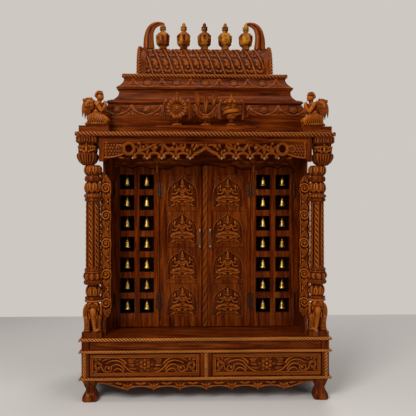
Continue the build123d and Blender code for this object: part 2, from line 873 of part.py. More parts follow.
# Canopy board, its rope, the sunk fascia and the openwork frieze
slab("canopy_board", -canopy_half, canopy_half, canopy_front, back_face, canopy_bottom, canopy_top)
with BuildPart() as canopy_rope:
    rope_round_three_sides(canopy_half, canopy_front, canopy_rope_reach, canopy_bottom, canopy_top)
save(canopy_rope, "canopy_rope")
fascia_front = base_front + fascia_setback
fascia_back = fascia_front + fascia_thick
fascia_start = capital_axis + capital_width / 2 + rope_gap
with BuildPart() as fascias:
    block(
        -corner_block_inner, corner_block_inner, fascia_front, fascia_back, fascia_bottom, canopy_bottom
    )
    for side in (-1, 1):
        outer = base_half - fascia_setback
        x0, x1 = spread(side, outer - fascia_thick, outer)
        block(x0, x1, fascia_start, back_face, fascia_bottom, canopy_bottom)
save(fascias, "fascias")

frieze_rail_bottom = fascia_bottom - frieze_rail
arch_foot = frieze_bottom + pendant_radius
arch_radius = frieze_pitch / 2 + frieze_bar / 2
bracket_start = frieze_first + frieze_arches * frieze_pitch
with BuildPart() as frieze:
    with BuildSketch(facing(fascia_back)):
        with Locations((0, fascia_bottom - frieze_rail / 2)):
            Rectangle(2 * corner_block_inner, frieze_rail)
        for side in (-1, 1):
            for bay in range(frieze_arches):
                middle = side * (frieze_first + (bay + 0.5) * frieze_pitch)
                bud = (frieze_rail_bottom + arch_foot + arch_radius) / 2
                bud_radius = (frieze_rail_bottom - arch_foot - arch_radius) / 2 + 3
                with Locations((middle, bud)):
                    Circle(bud_radius)
                with BuildLine():
                    CenterArc((middle, arch_foot), arch_radius, 0, 180)
                    CenterArc((middle, arch_foot), arch_radius - frieze_bar, 0, 180)
                    for end in (-1, 1):
                        Line(
                            (middle + end * arch_radius, arch_foot),
                            (middle + end * (arch_radius - frieze_bar), arch_foot),
                        )
                make_face()
            for bay in range(frieze_arches + 1):
                with Locations((side * (frieze_first + bay * frieze_pitch), arch_foot)):
                    Circle(pendant_radius)
            peak = frieze_rail_bottom + 2
            foot_x = frieze_first - frieze_bar / 2
            sag = (peak + arch_foot) / 2 - 10
            with BuildLine():
                ThreePointArc((side * (foot_x + frieze_bar), arch_foot), (side * foot_x / 2, sag + 6), (0, peak))
                Line((0, peak), (0, peak - frieze_bar * 1.6))
                ThreePointArc((0, peak - frieze_bar * 1.6), (side * foot_x / 2, sag - 6), (side * foot_x, arch_foot))
                Line((side * foot_x, arch_foot), (side * (foot_x + frieze_bar), arch_foot))
            make_face()
            x0, x1 = spread(side, bracket_start - pendant_radius, corner_block_inner)
            inner = side * (bracket_start - pendant_radius)
            outer = side * corner_block_inner
            with BuildLine():
                Line((inner, arch_foot), (inner, fascia_bottom))
                Line((inner, fascia_bottom), (outer, fascia_bottom))
                Line((outer, fascia_bottom), (outer, frieze_bottom))
                ThreePointArc((outer, frieze_bottom), ((inner + outer) / 2, arch_foot + 10), (inner, arch_foot))
            make_face()
            with Locations((side * (bracket_start + bracket_hole), fascia_bottom - frieze_height * 0.42)):
                Circle(bracket_hole, mode=Mode.SUBTRACT)
    extrude(amount=frieze_thick)
save(frieze, "frieze")

# Roof: plain steps, two carved cornices with mouldings between them, and a barrel on top
roof_middle = back_face - step_half_depth
end_offset = step_half_width - step_half_depth


def roof_tier(base, sections):
    # A block whose four sides follow the same moulding. Each section has a height and a half width
    for height, half in sections:
        with BuildSketch(Plane.XY.offset(base + height)) as section:
            with Locations((0, roof_middle)):
                Rectangle(2 * half, 2 * (half - end_offset))
        tier_sections.append(section.sketch)
    loft(tier_sections, ruled=True)
    tier_sections.clear()
    return base + sections[-1][0]


def curved(height, foot, head, bow, steps=5):
    # Sections along a side that bows inwards (a hollow) or outwards between its foot and its head
    return [
        (height * i / steps, foot + (head - foot) * i / steps - bow * sin(pi * i / steps))
        for i in range(steps + 1)
    ]


tier_sections = []
level = canopy_top
upper_step = step_half_width - upper_step_inset
with BuildPart() as roof_plinth:
    level = roof_tier(level, [(0, step_half_width), (lower_step_height, step_half_width)])
    level = roof_tier(level, [(0, upper_step), (upper_step_height, upper_step)])
save(roof_plinth, "roof_plinth")
with BuildPart() as lower_cornice:
    level = roof_tier(level, curved(lower_cornice_height, lower_cornice_foot, lower_cornice_head, -8))
save(lower_cornice, "lower_cornice")
torus_side = torus_half_width - torus_bulge
with BuildPart() as roof_moulding:
    level = roof_tier(level, curved(torus_height, torus_side, torus_side, -torus_bulge, 6))
    level = roof_tier(level, curved(cove_height, cove_foot, cove_head, 12))
    level = roof_tier(level, [(0, lip_half_width), (lip_height, lip_half_width)])
save(roof_moulding, "roof_moulding")
with BuildPart() as upper_cornice:
    level = roof_tier(level, curved(upper_cornice_height, upper_cornice_foot, upper_cornice_head, -6))
save(upper_cornice, "upper_cornice")
rope_side = roof_rope_half_width - roof_rope / 2
with BuildPart() as roof_rope_course:
    level = roof_tier(level, curved(roof_rope, rope_side, rope_side, -roof_rope / 2, 6))
save(roof_rope_course, "roof_rope")
barrel_base = level


def draw_vault(half_depth, height):
    with BuildLine() as outline:
        EllipticalCenterArc((0, barrel_base), half_depth, height, start_angle=0, arc_size=180)
        Line((-half_depth, barrel_base), (half_depth, barrel_base))
    make_face(outline.edges())


with BuildPart() as barrel:
    with BuildSketch(sideways(-barrel_half_width, roof_middle)):
        draw_vault(barrel_half_depth, barrel_height)
    extrude(amount=2 * barrel_half_width)
save(barrel, "barrel_roof")

gable_outer = barrel_half_width + gable_thick
with BuildPart() as gable_ends:
    for side in (-1, 1):
        with BuildSketch(sideways(side * barrel_half_width, roof_middle)):
            draw_vault(barrel_half_depth + gable_margin, barrel_height + gable_margin)
        extrude(amount=side * gable_thick)
        with BuildSketch(sideways(side * gable_outer, roof_middle)):
            draw_vault(barrel_half_depth + rim_margin, barrel_height + rim_margin)
        extrude(amount=side * rim_thick)
save(gable_ends, "gable_ends")

# Crescent horns rise from the gables and curl over to the end finials
finial_base = barrel_base + barrel_height
finial_members = (
    (6, 22, None, 20), (11, 20, 21, 24), (18, 24, 33, 36), (12, 36, 39, 38), (24, 38, 40, 39),
    (13, 39, 34, 21), (9, 21, 15, 14), (10, 14, None, 12), (20, 15, 19, 13), (6, 10, None, 9),
    (17, 9, 8, 2),
)
finial_height = sum(member[0] for member in finial_members)
horn_outer = gable_outer - 4
horn_rise = finial_height + 5
horn_tip = (finial_count - 1) / 2 * finial_pitch + 12
with BuildPart() as horns:
    for side in (-1, 1):
        with BuildSketch(facing(roof_middle + horn_thick / 2)):
            with BuildLine():
                Spline(
                    (side * horn_outer, finial_base),
                    (side * (horn_outer - 7), finial_base + horn_rise * 0.42),
                    (side * (horn_outer - 32), finial_base + horn_rise * 0.75),
                    (side * (horn_outer - 74), finial_base + horn_rise * 0.96),
                    (side * horn_tip, finial_base + horn_rise),
                )
                Line((side * horn_tip, finial_base + horn_rise), (side * horn_tip, finial_base + horn_rise - 14))
                Spline(
                    (side * horn_tip, finial_base + horn_rise - 14),
                    (side * (horn_tip + 20), finial_base + horn_rise * 0.78),
                    (side * (horn_outer - horn_width + 2), finial_base + horn_rise * 0.5),
                    (side * (horn_outer - horn_width), finial_base + horn_rise * 0.25),
                    (side * (horn_outer - horn_width), finial_base),
                )
                Line((side * (horn_outer - horn_width), finial_base), (side * horn_outer, finial_base))
            make_face()
        extrude(amount=horn_thick)
        # The foot of the horn is cut to sit on the gable board
        with BuildSketch(sideways(side * barrel_half_width, roof_middle)):
            draw_vault(barrel_half_depth + gable_margin, barrel_height + gable_margin)
        extrude(amount=side * gable_thick, mode=Mode.SUBTRACT)
save(horns, "horns")

with BuildPart() as finial:
    turn(0, 0, 0, finial_members)
with BuildPart() as finials:
    first_finial = -(finial_count - 1) / 2 * finial_pitch
    with Locations(*[(first_finial + i * finial_pitch, roof_middle, finial_base) for i in range(finial_count)]):
        add(finial.part)
save(finials, "finials")

# Emblems on a low platform at the front of the canopy
emblem_y = canopy_front + emblem_setback
platform_top = canopy_top + platform_height
figure_plinth_outer = canopy_half - 4
figure_y = canopy_front + figure_plinth_depth / 2 + 4
with BuildPart() as canopy_plinths:
    block(
        -platform_width / 2, platform_width / 2, emblem_y - platform_depth / 2,
        emblem_y + platform_depth / 2, canopy_top, platform_top,
    )
    for side in (-1, 1):
        x0, x1 = spread(side, figure_plinth_outer - figure_plinth_width, figure_plinth_outer)
        block(
            x0, x1, figure_y - figure_plinth_depth / 2, figure_y + figure_plinth_depth / 2,
            canopy_top, canopy_top + figure_plinth_height,
        )
save(canopy_plinths, "canopy_plinths")
stem_members = (
    (6, 19, None, 18), (10, 14, 15, 10), (8, 10, 14, 10), (stem_height - 24, 9, 12, 20),
)
disc_centre = platform_top + stem_height + disc_radius - disc_seat


def ribbons(middle, reach, high, low):
    # A stepped ribbon that hangs on each side of an emblem
    for side in (-1, 1):
        near = middle + side * reach
        with BuildSketch(facing(emblem_y + 4)) as ribbon:
            with BuildLine():
                Polyline(
                    (near - side * 22, high), (near + side * 14, high), (near + side * 22, low),
                    (near - side * 2, low + 18), (near - side * 22, high - 16), (near - side * 22, high),
                )
            make_face()
        extrude(ribbon.sketch, amount=8)


conch_members = (
    (14, 8, 16, 22), (30, 24, 36, 30), (22, 31, 34, 24), (10, 22, 24, 16), (10, 14, 16, 10), (12, 8, 8, 2),
)
with BuildPart() as emblems:
    with BuildSketch(facing(emblem_y + disc_thick / 2)):
        with Locations((-disc_from_middle, disc_centre)):
            Circle(disc_radius)
    extrude(amount=disc_thick)
    turn(-disc_from_middle, emblem_y, platform_top, stem_members)
    ribbons(-disc_from_middle, disc_radius + 8, disc_centre + 4, disc_centre - ribbon_drop)
    with BuildSketch(facing(emblem_y + 4)):
        with Locations((-disc_from_middle, disc_centre)):
            Rectangle(2 * disc_radius + 20, 10)
        with Locations((-disc_from_middle, disc_centre + disc_radius)):
            RegularPolygon(14, 3, rotation=90)
    extrude(amount=8)
    turn(0, emblem_y, platform_top, stem_members)
    mark_low = platform_top + stem_height
    with BuildSketch(facing(emblem_y + disc_thick / 2)):
        with BuildLine():
            Polyline((-52, mark_low + 62), (-36, mark_low + 62), (-30, mark_low + 34))
            ThreePointArc((-30, mark_low + 34), (0, mark_low + 14), (30, mark_low + 34))
            Polyline((30, mark_low + 34), (36, mark_low + 62), (52, mark_low + 62), (48, mark_low + 26))
            ThreePointArc((48, mark_low + 26), (0, mark_low - 8), (-48, mark_low + 26))
            Line((-48, mark_low + 26), (-52, mark_low + 62))
        make_face()
        for lean in (-1, 0, 1):
            with BuildLine():
                Polyline(
                    (lean * 14 - 6, mark_low + 8), (lean * 20 - 9, mark_low + 92),
                    (lean * 24, mark_low + 134), (lean * 20 + 9, mark_low + 92),
                    (lean * 14 + 6, mark_low + 8), (lean * 14 - 6, mark_low + 8),
                )
            make_face()
    extrude(amount=disc_thick)
    turn(conch_from_middle, emblem_y, platform_top, stem_members)
    turn(conch_from_middle, emblem_y, platform_top + stem_height, conch_members)
    ribbons(conch_from_middle, disc_radius + 4, disc_centre + 4, disc_centre - ribbon_drop)
    with BuildSketch(facing(emblem_y + 4)):
        with Locations((conch_from_middle, disc_centre)):
            Rectangle(2 * disc_radius + 16, 10)
    extrude(amount=8)
save(emblems, "emblems")

# Kneeling winged figures with folded hands, looking inwards from the corners
knee_z = canopy_top + figure_plinth_height
figure_middle = figure_plinth_outer - figure_plinth_width / 2
with BuildPart() as winged_figures:
    for side in (-1, 1):
        middle = side * figure_middle
        inward = -side
        for share, shift, wide, deep in (
            (0, 0, 0.86, 0.92), (0.16, 0, 0.80, 0.90), (0.30, -4, 0.50, 0.66),
            (0.52, -6, 0.46, 0.62), (0.68, -4, 0.44, 0.60), (0.74, -2, 0.22, 0.30),
        ):
            with BuildSketch(Plane.XY.offset(knee_z + share * figure_height)):
                with Locations((middle + inward * shift, figure_y)):
                    RectangleRounded(figure_width * wide, figure_depth * deep, 11)
        loft(ruled=True)
        head_z = knee_z + figure_height - 26
        with Locations((middle + inward * 8, figure_y, head_z)):
            Sphere(25)
        with Locations((middle + inward * 34, figure_y, knee_z + figure_height * 0.52)):
            Box(30, 34, 40)
        for wing in (-1, 1):
            with BuildSketch(facing(figure_y + wing * figure_depth * 0.32 + 7)):
                with BuildLine():
                    Polyline(
                        (middle - inward * 4, knee_z + figure_height * 0.70),
                        (middle - inward * 40, knee_z + figure_height * 0.72),
                        (middle - inward * 58, knee_z + figure_height * 0.50),
                        (middle - inward * 58, knee_z + figure_height * 0.18),
                        (middle - inward * 30, knee_z + figure_height * 0.16),
                        (middle - inward * 4, knee_z + figure_height * 0.40),
                        (middle - inward * 4, knee_z + figure_height * 0.70),
                    )
                make_face()
            extrude(amount=14)
save(winged_figures, "winged_figures")
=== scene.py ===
import bpy
import math
import numpy as np
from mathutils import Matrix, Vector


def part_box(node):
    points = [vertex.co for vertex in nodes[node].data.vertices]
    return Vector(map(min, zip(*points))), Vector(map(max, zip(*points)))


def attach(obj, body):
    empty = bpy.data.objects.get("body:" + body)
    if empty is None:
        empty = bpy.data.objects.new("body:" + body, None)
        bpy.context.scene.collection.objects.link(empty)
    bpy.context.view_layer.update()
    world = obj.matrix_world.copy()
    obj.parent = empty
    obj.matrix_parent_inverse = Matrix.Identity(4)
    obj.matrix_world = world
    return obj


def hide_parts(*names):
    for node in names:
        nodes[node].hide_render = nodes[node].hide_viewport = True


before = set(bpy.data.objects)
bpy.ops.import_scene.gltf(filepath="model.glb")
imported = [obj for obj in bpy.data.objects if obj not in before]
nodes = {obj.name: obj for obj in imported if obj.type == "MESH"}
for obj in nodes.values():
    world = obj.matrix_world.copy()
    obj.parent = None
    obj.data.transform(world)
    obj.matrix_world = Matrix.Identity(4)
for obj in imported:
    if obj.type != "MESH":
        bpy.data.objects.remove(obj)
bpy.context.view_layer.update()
mm = 0.001
pi = math.pi


def cadSpan(name):
    # lowest and highest corner of a CAD node, in millimetres
    low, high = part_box(name)
    return np.array(low) / mm, np.array(high) / mm


# Colour and materials

def paint(code):
    # an sRGB hex value as a linear colour with alpha
    srgb = np.array([int(code[i:i + 2], 16) for i in (1, 3, 5)]) / 255
    linear = np.where(srgb <= 0.04045, srgb / 12.92, ((srgb + 0.055) / 1.055) ** 2.4)
    return (*[float(c) for c in linear], 1.0)


def addNode(tree, kind, inputs=None, **settings):
    # one shader node: settings are its properties, inputs are values or sockets to link
    made = tree.nodes.new(kind)
    for key, value in settings.items():
        setattr(made, key, value)
    for key, value in (inputs or {}).items():
        if isinstance(value, bpy.types.NodeSocket):
            tree.links.new(value, made.inputs[key])
        else:
            made.inputs[key].default_value = value
    return made


def addRamp(tree, factor, stops):
    # a colour ramp through (place, hex colour) stops
    ramp = addNode(tree, "ShaderNodeValToRGB", {"Fac": factor})
    elements = ramp.color_ramp.elements
    while len(elements) < len(stops):
        elements.new(0.5)
    for element, (place, code) in zip(elements, stops):
        element.position = place
        element.color = paint(code)
    return ramp.outputs["Color"]


def addNoise(tree, place, sizeMm, detail, **inputs):
    # noise whose patches are about sizeMm wide: its scale is 1000 / sizeMm
    return addNode(tree, "ShaderNodeTexNoise", {
        "Vector": place, "Scale": 1000 / sizeMm, "Detail": detail, **inputs}).outputs["Fac"]


def addRange(tree, value, low, high, start, end):
    # a value between low and high, moved evenly to between start and end
    return addNode(tree, "ShaderNodeMapRange", {
        "Value": value, "From Min": low, "From Max": high, "To Min": start, "To Max": end}).outputs["Result"]


def addMix(tree, share, first, second, kind="MIX"):
    # from the first colour towards the second by share, or towards their product
    return addNode(tree, "ShaderNodeMixRGB", {
        "Fac": share, "Color1": first, "Color2": second}, blend_type=kind).outputs["Color"]


def addBump(tree, height, strength, distance):
    # a surface direction that follows the height, distance metres from lowest to highest
    return addNode(tree, "ShaderNodeBump", {
        "Height": height, "Strength": strength, "Distance": distance}).outputs["Normal"]


def newMaterial(name):
    # an empty material and its node tree
    material = bpy.data.materials.new(name)
    material.use_nodes = True
    material.node_tree.nodes.clear()
    return material, material.node_tree


def finishMaterial(tree, surface):
    # links the surface shader to the output
    out = addNode(tree, "ShaderNodeOutputMaterial")
    tree.links.new(surface, out.inputs["Surface"])


# Teak: an oily brown hardwood with fine dark pores along the grain. It is stained red-brown and
# french polished, so that flats shine softly and hollows keep a darker film of stain, deepened as painted
# shade
teakLook = {
    "dark": "#280b02",
    "mid": "#5e2306",
    "light": "#8a420e",
    "hollow": "#0e0301",
    "worn": "#b4601c",
    "poreMm": 1.6,
    "figureMm": 14,
    "cloudMm": 160,
    "stretch": 0.07,
    "roughness": 0.26,
    "coat": 0.05,
    "gilt": 0.0,
    "giltMm": 46,
}


def makeTeak(name, grain, carved=False, **changes):
    # three noises: figure and pores drawn out along the grain axis, and slow clouds of stain over them
    look = {**teakLook, **changes}
    material, tree = newMaterial(name)
    place = addNode(tree, "ShaderNodeTexCoord").outputs["Object"]
    scale = [look["stretch"] if axis == grain else 1.0 for axis in "xyz"]
    along = addNode(tree, "ShaderNodeMapping", {"Vector": place, "Scale": scale}).outputs["Vector"]
    figure = addNoise(tree, along, look["figureMm"], 5.0, Roughness=0.62, Distortion=0.6)
    pores = addNoise(tree, along, look["poreMm"], 2.0)
    clouds = addNoise(tree, place, look["cloudMm"], 2.0)
    colour = addRamp(tree, figure, ((0.30, look["dark"]), (0.48, look["mid"]), (0.70, look["light"])))
    poreShade = addRamp(tree, pores, ((0.34, "#8a5634"), (0.52, "#ffffff")))
    colour = addMix(tree, 0.55, colour, poreShade, "MULTIPLY")
    cloudShade = addRamp(tree, clouds, ((0.3, "#c79a78"), (0.65, "#ffffff")))
    colour = addMix(tree, 0.6, colour, cloudShade, "MULTIPLY")
    if carved:
        # the carving's own height: stain stays low, deepened to near black as painted shade, and high edges
        # are painted lighter, partly rubbed wear and partly painted highlight
        relief = addNode(tree, "ShaderNodeAttribute", attribute_name="relief").outputs["Fac"]
        colour = addMix(tree, addRange(tree, relief, 0.55, 1.0, 0.0, 0.7), colour, paint(look["worn"]))
        # hollows are painted near black: a darker stain, deepened as painted shade
        colour = addMix(tree, addRange(tree, relief, 0.46, 0.05, 0.0, 0.92), colour, paint(look["hollow"]))
    if look["gilt"]:
        # gold patches, a painted reflection of the warm gloss on the finials' lacquer
        reflectionPatches = addNoise(tree, place, look["giltMm"], 3.0, Roughness=0.6)
        colour = addMix(tree, addRange(tree, reflectionPatches, 0.44, 0.72, 0.0, look["gilt"]), colour,
                        paint("#c8842a"))
    sheen = addRange(tree, figure, 0.0, 1.0, look["roughness"] - 0.06, look["roughness"] + 0.10)
    shader = addNode(tree, "ShaderNodeBsdfPrincipled", {
        "Base Color": colour, "Roughness": sheen, "Normal": addBump(tree, pores, 0.25, 0.0004),
        "Coat Weight": look["coat"], "Coat Roughness": 0.12, "Specular IOR Level": 0.14,
        "Specular Tint": paint("#e0955a")})
    finishMaterial(tree, shader.outputs["BSDF"])
    return material


# Brass: cast bells turned bright and left to tarnish, and hardware darkened with a brown bath
def makeBrass(name, bright, tarnish, patchMm, roughness):
    # patches of tarnish over bright metal, rougher and a little lower where it is tarnished
    material, tree = newMaterial(name)
    place = addNode(tree, "ShaderNodeTexCoord").outputs["Object"]
    patch = addNoise(tree, place, patchMm, 4.0, Roughness=0.6)
    shader = addNode(tree, "ShaderNodeBsdfPrincipled", {
        "Base Color": addRamp(tree, patch, ((0.36, tarnish), (0.60, bright))), "Metallic": 1.0,
        "Roughness": addRange(tree, patch, 0.0, 1.0, roughness + 0.18, roughness),
        "Normal": addBump(tree, patch, 0.2, 0.0003)})
    finishMaterial(tree, shader.outputs["BSDF"])
    return material


teakAcross = makeTeak("polishedTeakAcross", "x")
teakUp = makeTeak("polishedTeakUpright", "z")
teakDeep = makeTeak("polishedTeakDeep", "y")
# the cabinet's back is painted much darker than the other boards: painted shade behind the lattice
teakPaintedShadeBack = makeTeak("paintedShadeTeakBack", "z", dark="#1d0b04", mid="#341707", light="#4a240d", coat=0.05,
                     roughness=0.5)
teakCarved = makeTeak("carvedTeak", "z", carved=True)
teakCarvedAcross = makeTeak("carvedTeakAcross", "x", carved=True)
# the ropes' lighter colour on the strands' backs is rubbed wear and painted highlight, strongest on the base
# ropes
teakRope = makeTeak("carvedTeakRope", "x", carved=True, mid="#642808", light="#8a4414", worn="#b8692c")
teakRubbedHighlightRope = makeTeak("rubbedHighlightTeakRope", "x", carved=True, mid="#7e3408", light="#b0601e", worn="#f0a04c")
# the finials' gold patches are a painted reflection
teakReflectionGold = makeTeak("giltTeak", "z", carved=True, gilt=0.8)
teakPlain = makeTeak("sawnTeak", "y", dark="#5a3216", mid="#8a5a30", light="#a87a4a", coat=0.0, roughness=0.6)
bellBrass = makeBrass("turnedBellBrass", "#f2c866", "#b98a3c", 14, 0.36)
darkBrass = makeBrass("antiqueBrass", "#643a22", "#3a1e10", 7, 0.45)
paleBrass = makeBrass("rubbedBrass", "#b5a48e", "#6e5d4c", 6, 0.34)
# Frieze drops: small beads painted pale, a painted glint on the pendants' tips
glintDrop, tree = newMaterial("paintedGlintBead")
grit = addNode(tree, "ShaderNodeTexNoise", {"Scale": 240.0, "Detail": 3.0}).outputs["Fac"]
glintShade = addRamp(tree, grit, ((0.3, "#6d5846"), (0.65, "#a8947e")))
finishMaterial(tree, addNode(tree, "ShaderNodeBsdfPrincipled", {
    "Base Color": glintShade, "Roughness": 0.4, "Subsurface Weight": 0.05}).outputs["BSDF"])
print("materials ready")

nodeFinish = {
    teakAcross: ("mid_rail", "roof_plinth", "roof_moulding", "header", "fascias", "canopy_plinths",
                 "tray_lip", "canopy_board", "base_deck"),
    teakUp: ("base_stiles", "base_sides", "cabinet_sides", "jambs", "corner_blocks", "plinths",
             "lattice_leaves", "door_frame_left", "door_frame_right", "gable_ends", "porch_sides",
             "turn_button_left", "turn_button_right", "pillars", "capitals", "feet"),
    teakDeep: ("base_floor",),
    teakPaintedShadeBack: ("cabinet_back",),
    teakPlain: ("base_back", "drawer_divider", "dust_board", "drawer_box_left", "drawer_box_right",
                "tray_board"),
    darkBrass: ("door_fittings_left", "door_fittings_right", "fixed_hinges"),
}
for material, names in nodeFinish.items():
    for name in names:
        nodes[name].data.materials.clear()
        nodes[name].data.materials.append(material)


def addObject(name, data):
    # a new object that holds the data
    made = bpy.data.objects.new(name, data)
    bpy.context.scene.collection.objects.link(made)
    return made


# Meshes: a part is vertices, four-sided and three-sided faces, and a relief value at each vertex. Low relief
# values are painted dark as painted shade, high ones lighter as rubbed wear and painted highlight

def partOf(verts, quads, tris, relief):
    # the arrays of one part, its faces turned outwards
    verts = np.asarray(verts, float).reshape(-1, 3)
    quads = np.asarray(quads, int).reshape(-1, 4)
    tris = np.asarray(tris, int).reshape(-1, 3)
    relief = np.broadcast_to(np.asarray(relief, float), (len(verts),)).copy()
    # a closed part whose faces turn inwards has a negative volume, and is turned round
    split = np.concatenate([tris, quads[:, [0, 1, 2]], quads[:, [0, 2, 3]]])
    a, b, c = (verts[split[:, k]] - verts.mean(0) for k in range(3))
    if np.einsum("ij,ij->i", a, np.cross(b, c)).sum() < 0:
        quads = quads[:, ::-1]
        tris = tris[:, ::-1]
    return verts, quads, tris, relief


def ringPart(points, relief=0.6):
    # points[i, j]: closed rings j stacked along i. Both ends are closed with a fan to their middle
    rows, cols = points.shape[:2]
    index = np.arange(rows * cols).reshape(rows, cols)
    after = np.roll(index, -1, axis=1)
    quads = np.stack([index[:-1], after[:-1], after[1:], index[1:]], -1).reshape(-1, 4)
    low, high = rows * cols, rows * cols + 1
    tris = np.concatenate([
        np.stack([np.full(cols, low), after[0], index[0]], -1),
        np.stack([np.full(cols, high), index[-1], after[-1]], -1)])
    verts = np.concatenate([points.reshape(-1, 3), [points[0].mean(0)], [points[-1].mean(0)]])
    tone = np.broadcast_to(relief, (rows, cols))
    tone = np.concatenate([tone.ravel(), [tone[0].mean()], [tone[-1].mean()]])
    return partOf(verts, quads, tris, tone)


def boardPart(front, axis, backAt, relief=0.6):
    # front[i, j]: a carved face, i along and j up. Its edges run straight back to a flat back
    rows, cols = front.shape[:2]
    index = np.arange(rows * cols).reshape(rows, cols)
    backLow = front[:, 0].copy()
    backHigh = front[:, -1].copy()
    backLow[:, axis] = backAt
    backHigh[:, axis] = backAt
    low = rows * cols + np.arange(rows)
    high = low + rows
    strips = ((index[:, 0], low), (low, high), (high, index[:, -1]))
    quads = [np.stack([index[:-1, :-1], index[:-1, 1:], index[1:, 1:], index[1:, :-1]], -1).reshape(-1, 4)]
    for one, two in strips:
        quads.append(np.stack([one[1:], two[1:], two[:-1], one[:-1]], -1)[:, ::-1])
    tris = []
    for i, flip in ((0, 1), (rows - 1, -1)):
        corner = low[i]
        fan = np.stack([np.full(cols - 1, corner), index[i, 1:], index[i, :-1]], -1)
        tris.append(np.concatenate([fan, [[corner, high[i], index[i, -1]]]])[:, ::flip])
    verts = np.concatenate([front.reshape(-1, 3), backLow, backHigh])
    tone = np.broadcast_to(relief, (rows, cols))
    tone = np.concatenate([tone.ravel(), tone[:, 0], tone[:, -1]])
    return partOf(verts, np.concatenate(quads), np.concatenate(tris), tone)


def boxPart(low, high):
    # a plain box between two corners
    x0, y0, z0 = low
    x1, y1, z1 = high
    verts = [(x, y, z) for x in (x0, x1) for y in (y0, y1) for z in (z0, z1)]
    quads = [(0, 1, 3, 2), (4, 6, 7, 5), (0, 4, 5, 1), (2, 3, 7, 6), (0, 2, 6, 4), (1, 5, 7, 3)]
    return partOf(verts, quads, [], 0.55)


def movedPart(part, shift, mirrorX):
    # a copy, mirrored across X if asked, then shifted
    verts, quads, tris, relief = part
    if mirrorX:
        verts = verts * [-1, 1, 1]
    return partOf(verts + np.array(shift), quads, tris, relief)


def makePiece(name, parts, material, body, replaced=(), sharpDegrees=52):
    # joins the parts into one mesh in metres, with its relief attribute, and gives it to its body
    start = 0
    verts, quads, tris, tones = [], [], [], []
    for v, q, t, r in parts:
        verts.append(v)
        quads.append(q + start)
        tris.append(t + start)
        tones.append(r)
        start += len(v)
    verts = np.concatenate(verts) * mm
    quads = np.concatenate(quads)
    tris = np.concatenate(tris)
    mesh = bpy.data.meshes.new(name)
    mesh.vertices.add(len(verts))
    mesh.vertices.foreach_set("co", verts.astype(np.float32).ravel())
    loops = np.concatenate([quads.ravel(), tris.ravel()])
    mesh.loops.add(len(loops))
    mesh.loops.foreach_set("vertex_index", loops.astype(np.int32))
    starts = np.concatenate([np.arange(len(quads)) * 4, len(quads) * 4 + np.arange(len(tris)) * 3])
    mesh.polygons.add(len(starts))
    mesh.polygons.foreach_set("loop_start", starts.astype(np.int32))
    mesh.update(calc_edges=True)
    mesh.validate()
    mesh.polygons.foreach_set("use_smooth", np.ones(len(mesh.polygons), bool))
    mesh.set_sharp_from_angle(angle=math.radians(sharpDegrees))
    tone = mesh.attributes.new("relief", "FLOAT", "POINT")
    tone.data.foreach_set("value", np.concatenate(tones).astype(np.float32))
    mesh.materials.append(material)
    piece = addObject(name, mesh)
    if body is None:
        return piece
    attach(piece, body)
    if replaced:
        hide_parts(*replaced)
    print(name, len(quads) * 2 + len(tris), "triangles")
    return piece


# Shapes that the carving is made of

def fade(distance, reach):
    # distance / reach, kept between 0 and 1
    return np.clip(distance / reach, 0, 1)


def roundBack(distance, half):
    # a half-round ridge: the root of 1 - (distance / half) squared, and 0 past half
    return np.sqrt(np.clip(1 - (distance / half) ** 2, 0, None))


def swell(distance, reach):
    # a soft swelling: e to the minus (distance / reach) squared
    return np.exp(-(distance / reach) ** 2)


def highest(first, *others):
    # at each point, the highest of the shapes
    for shape in others:
        first = np.maximum(first, shape)
    return first


def anglesRound(sides):
    # equal angles round a full turn, as one row
    return np.linspace(0, 2 * pi, sides, endpoint=False)[None, :]


def pointsOf(x, y, z):
    # points from their x, y and z, each a number or an array
    return np.stack(np.broadcast_arrays(x, y, z), -1)


# Carving: heights worked out over a flat field, in millimetres

def blurred(height, reach):
    # the mean over a square window, by running sums along each direction
    for axis in (0, 1):
        pad = [(0, 0), (0, 0)]
        pad[axis] = (reach + 1, reach)
        sums = np.cumsum(np.pad(height, pad, mode="edge"), axis=axis)
        lower = np.take(sums, range(0, height.shape[axis]), axis=axis)
        upper = np.take(sums, range(2 * reach + 1, 2 * reach + 1 + height.shape[axis]), axis=axis)
        height = (upper - lower) / (2 * reach + 1)
    return height


def wearAndShadeOf(height, deepest, reach=4):
    # how rubbed and how shaded each point is: high where it stands above its surroundings, painted lighter as
    # rubbed wear and painted highlight, low in hollows, painted dark as painted shade
    local = (height - blurred(height, reach)) / (0.35 * deepest)
    return np.clip(0.36 + 0.30 * height / deepest + 0.42 * local, 0, 1)


def dome(u, v, cu, cv, ru, rv, tilt=0.0):
    # half an ellipsoid: 1 in the middle, 0 at its rim
    c, s = math.cos(tilt), math.sin(tilt)
    a = ((u - cu) * c + (v - cv) * s) / ru
    b = ((v - cv) * c - (u - cu) * s) / rv
    return np.sqrt(np.clip(1 - a * a - b * b, 0, None))


def leaf(u, v, cu, cv, length, width, tilt, vein=0.45):
    # a pointed leaf from (cu, cv) along tilt: rounded across, with a groove down its middle
    c, s = math.cos(tilt), math.sin(tilt)
    along = ((u - cu) * c + (v - cv) * s) / length
    across = np.abs((v - cv) * c - (u - cu) * s)
    inside = (along > 0) & (along < 1)
    half = 0.5 * width * np.sin(pi * np.clip(along, 0, 1) ** 0.75) + 1e-6
    body = roundBack(across, half)
    return np.where(inside, body * (1 - vein * swell(across, 0.10 * width)), 0)


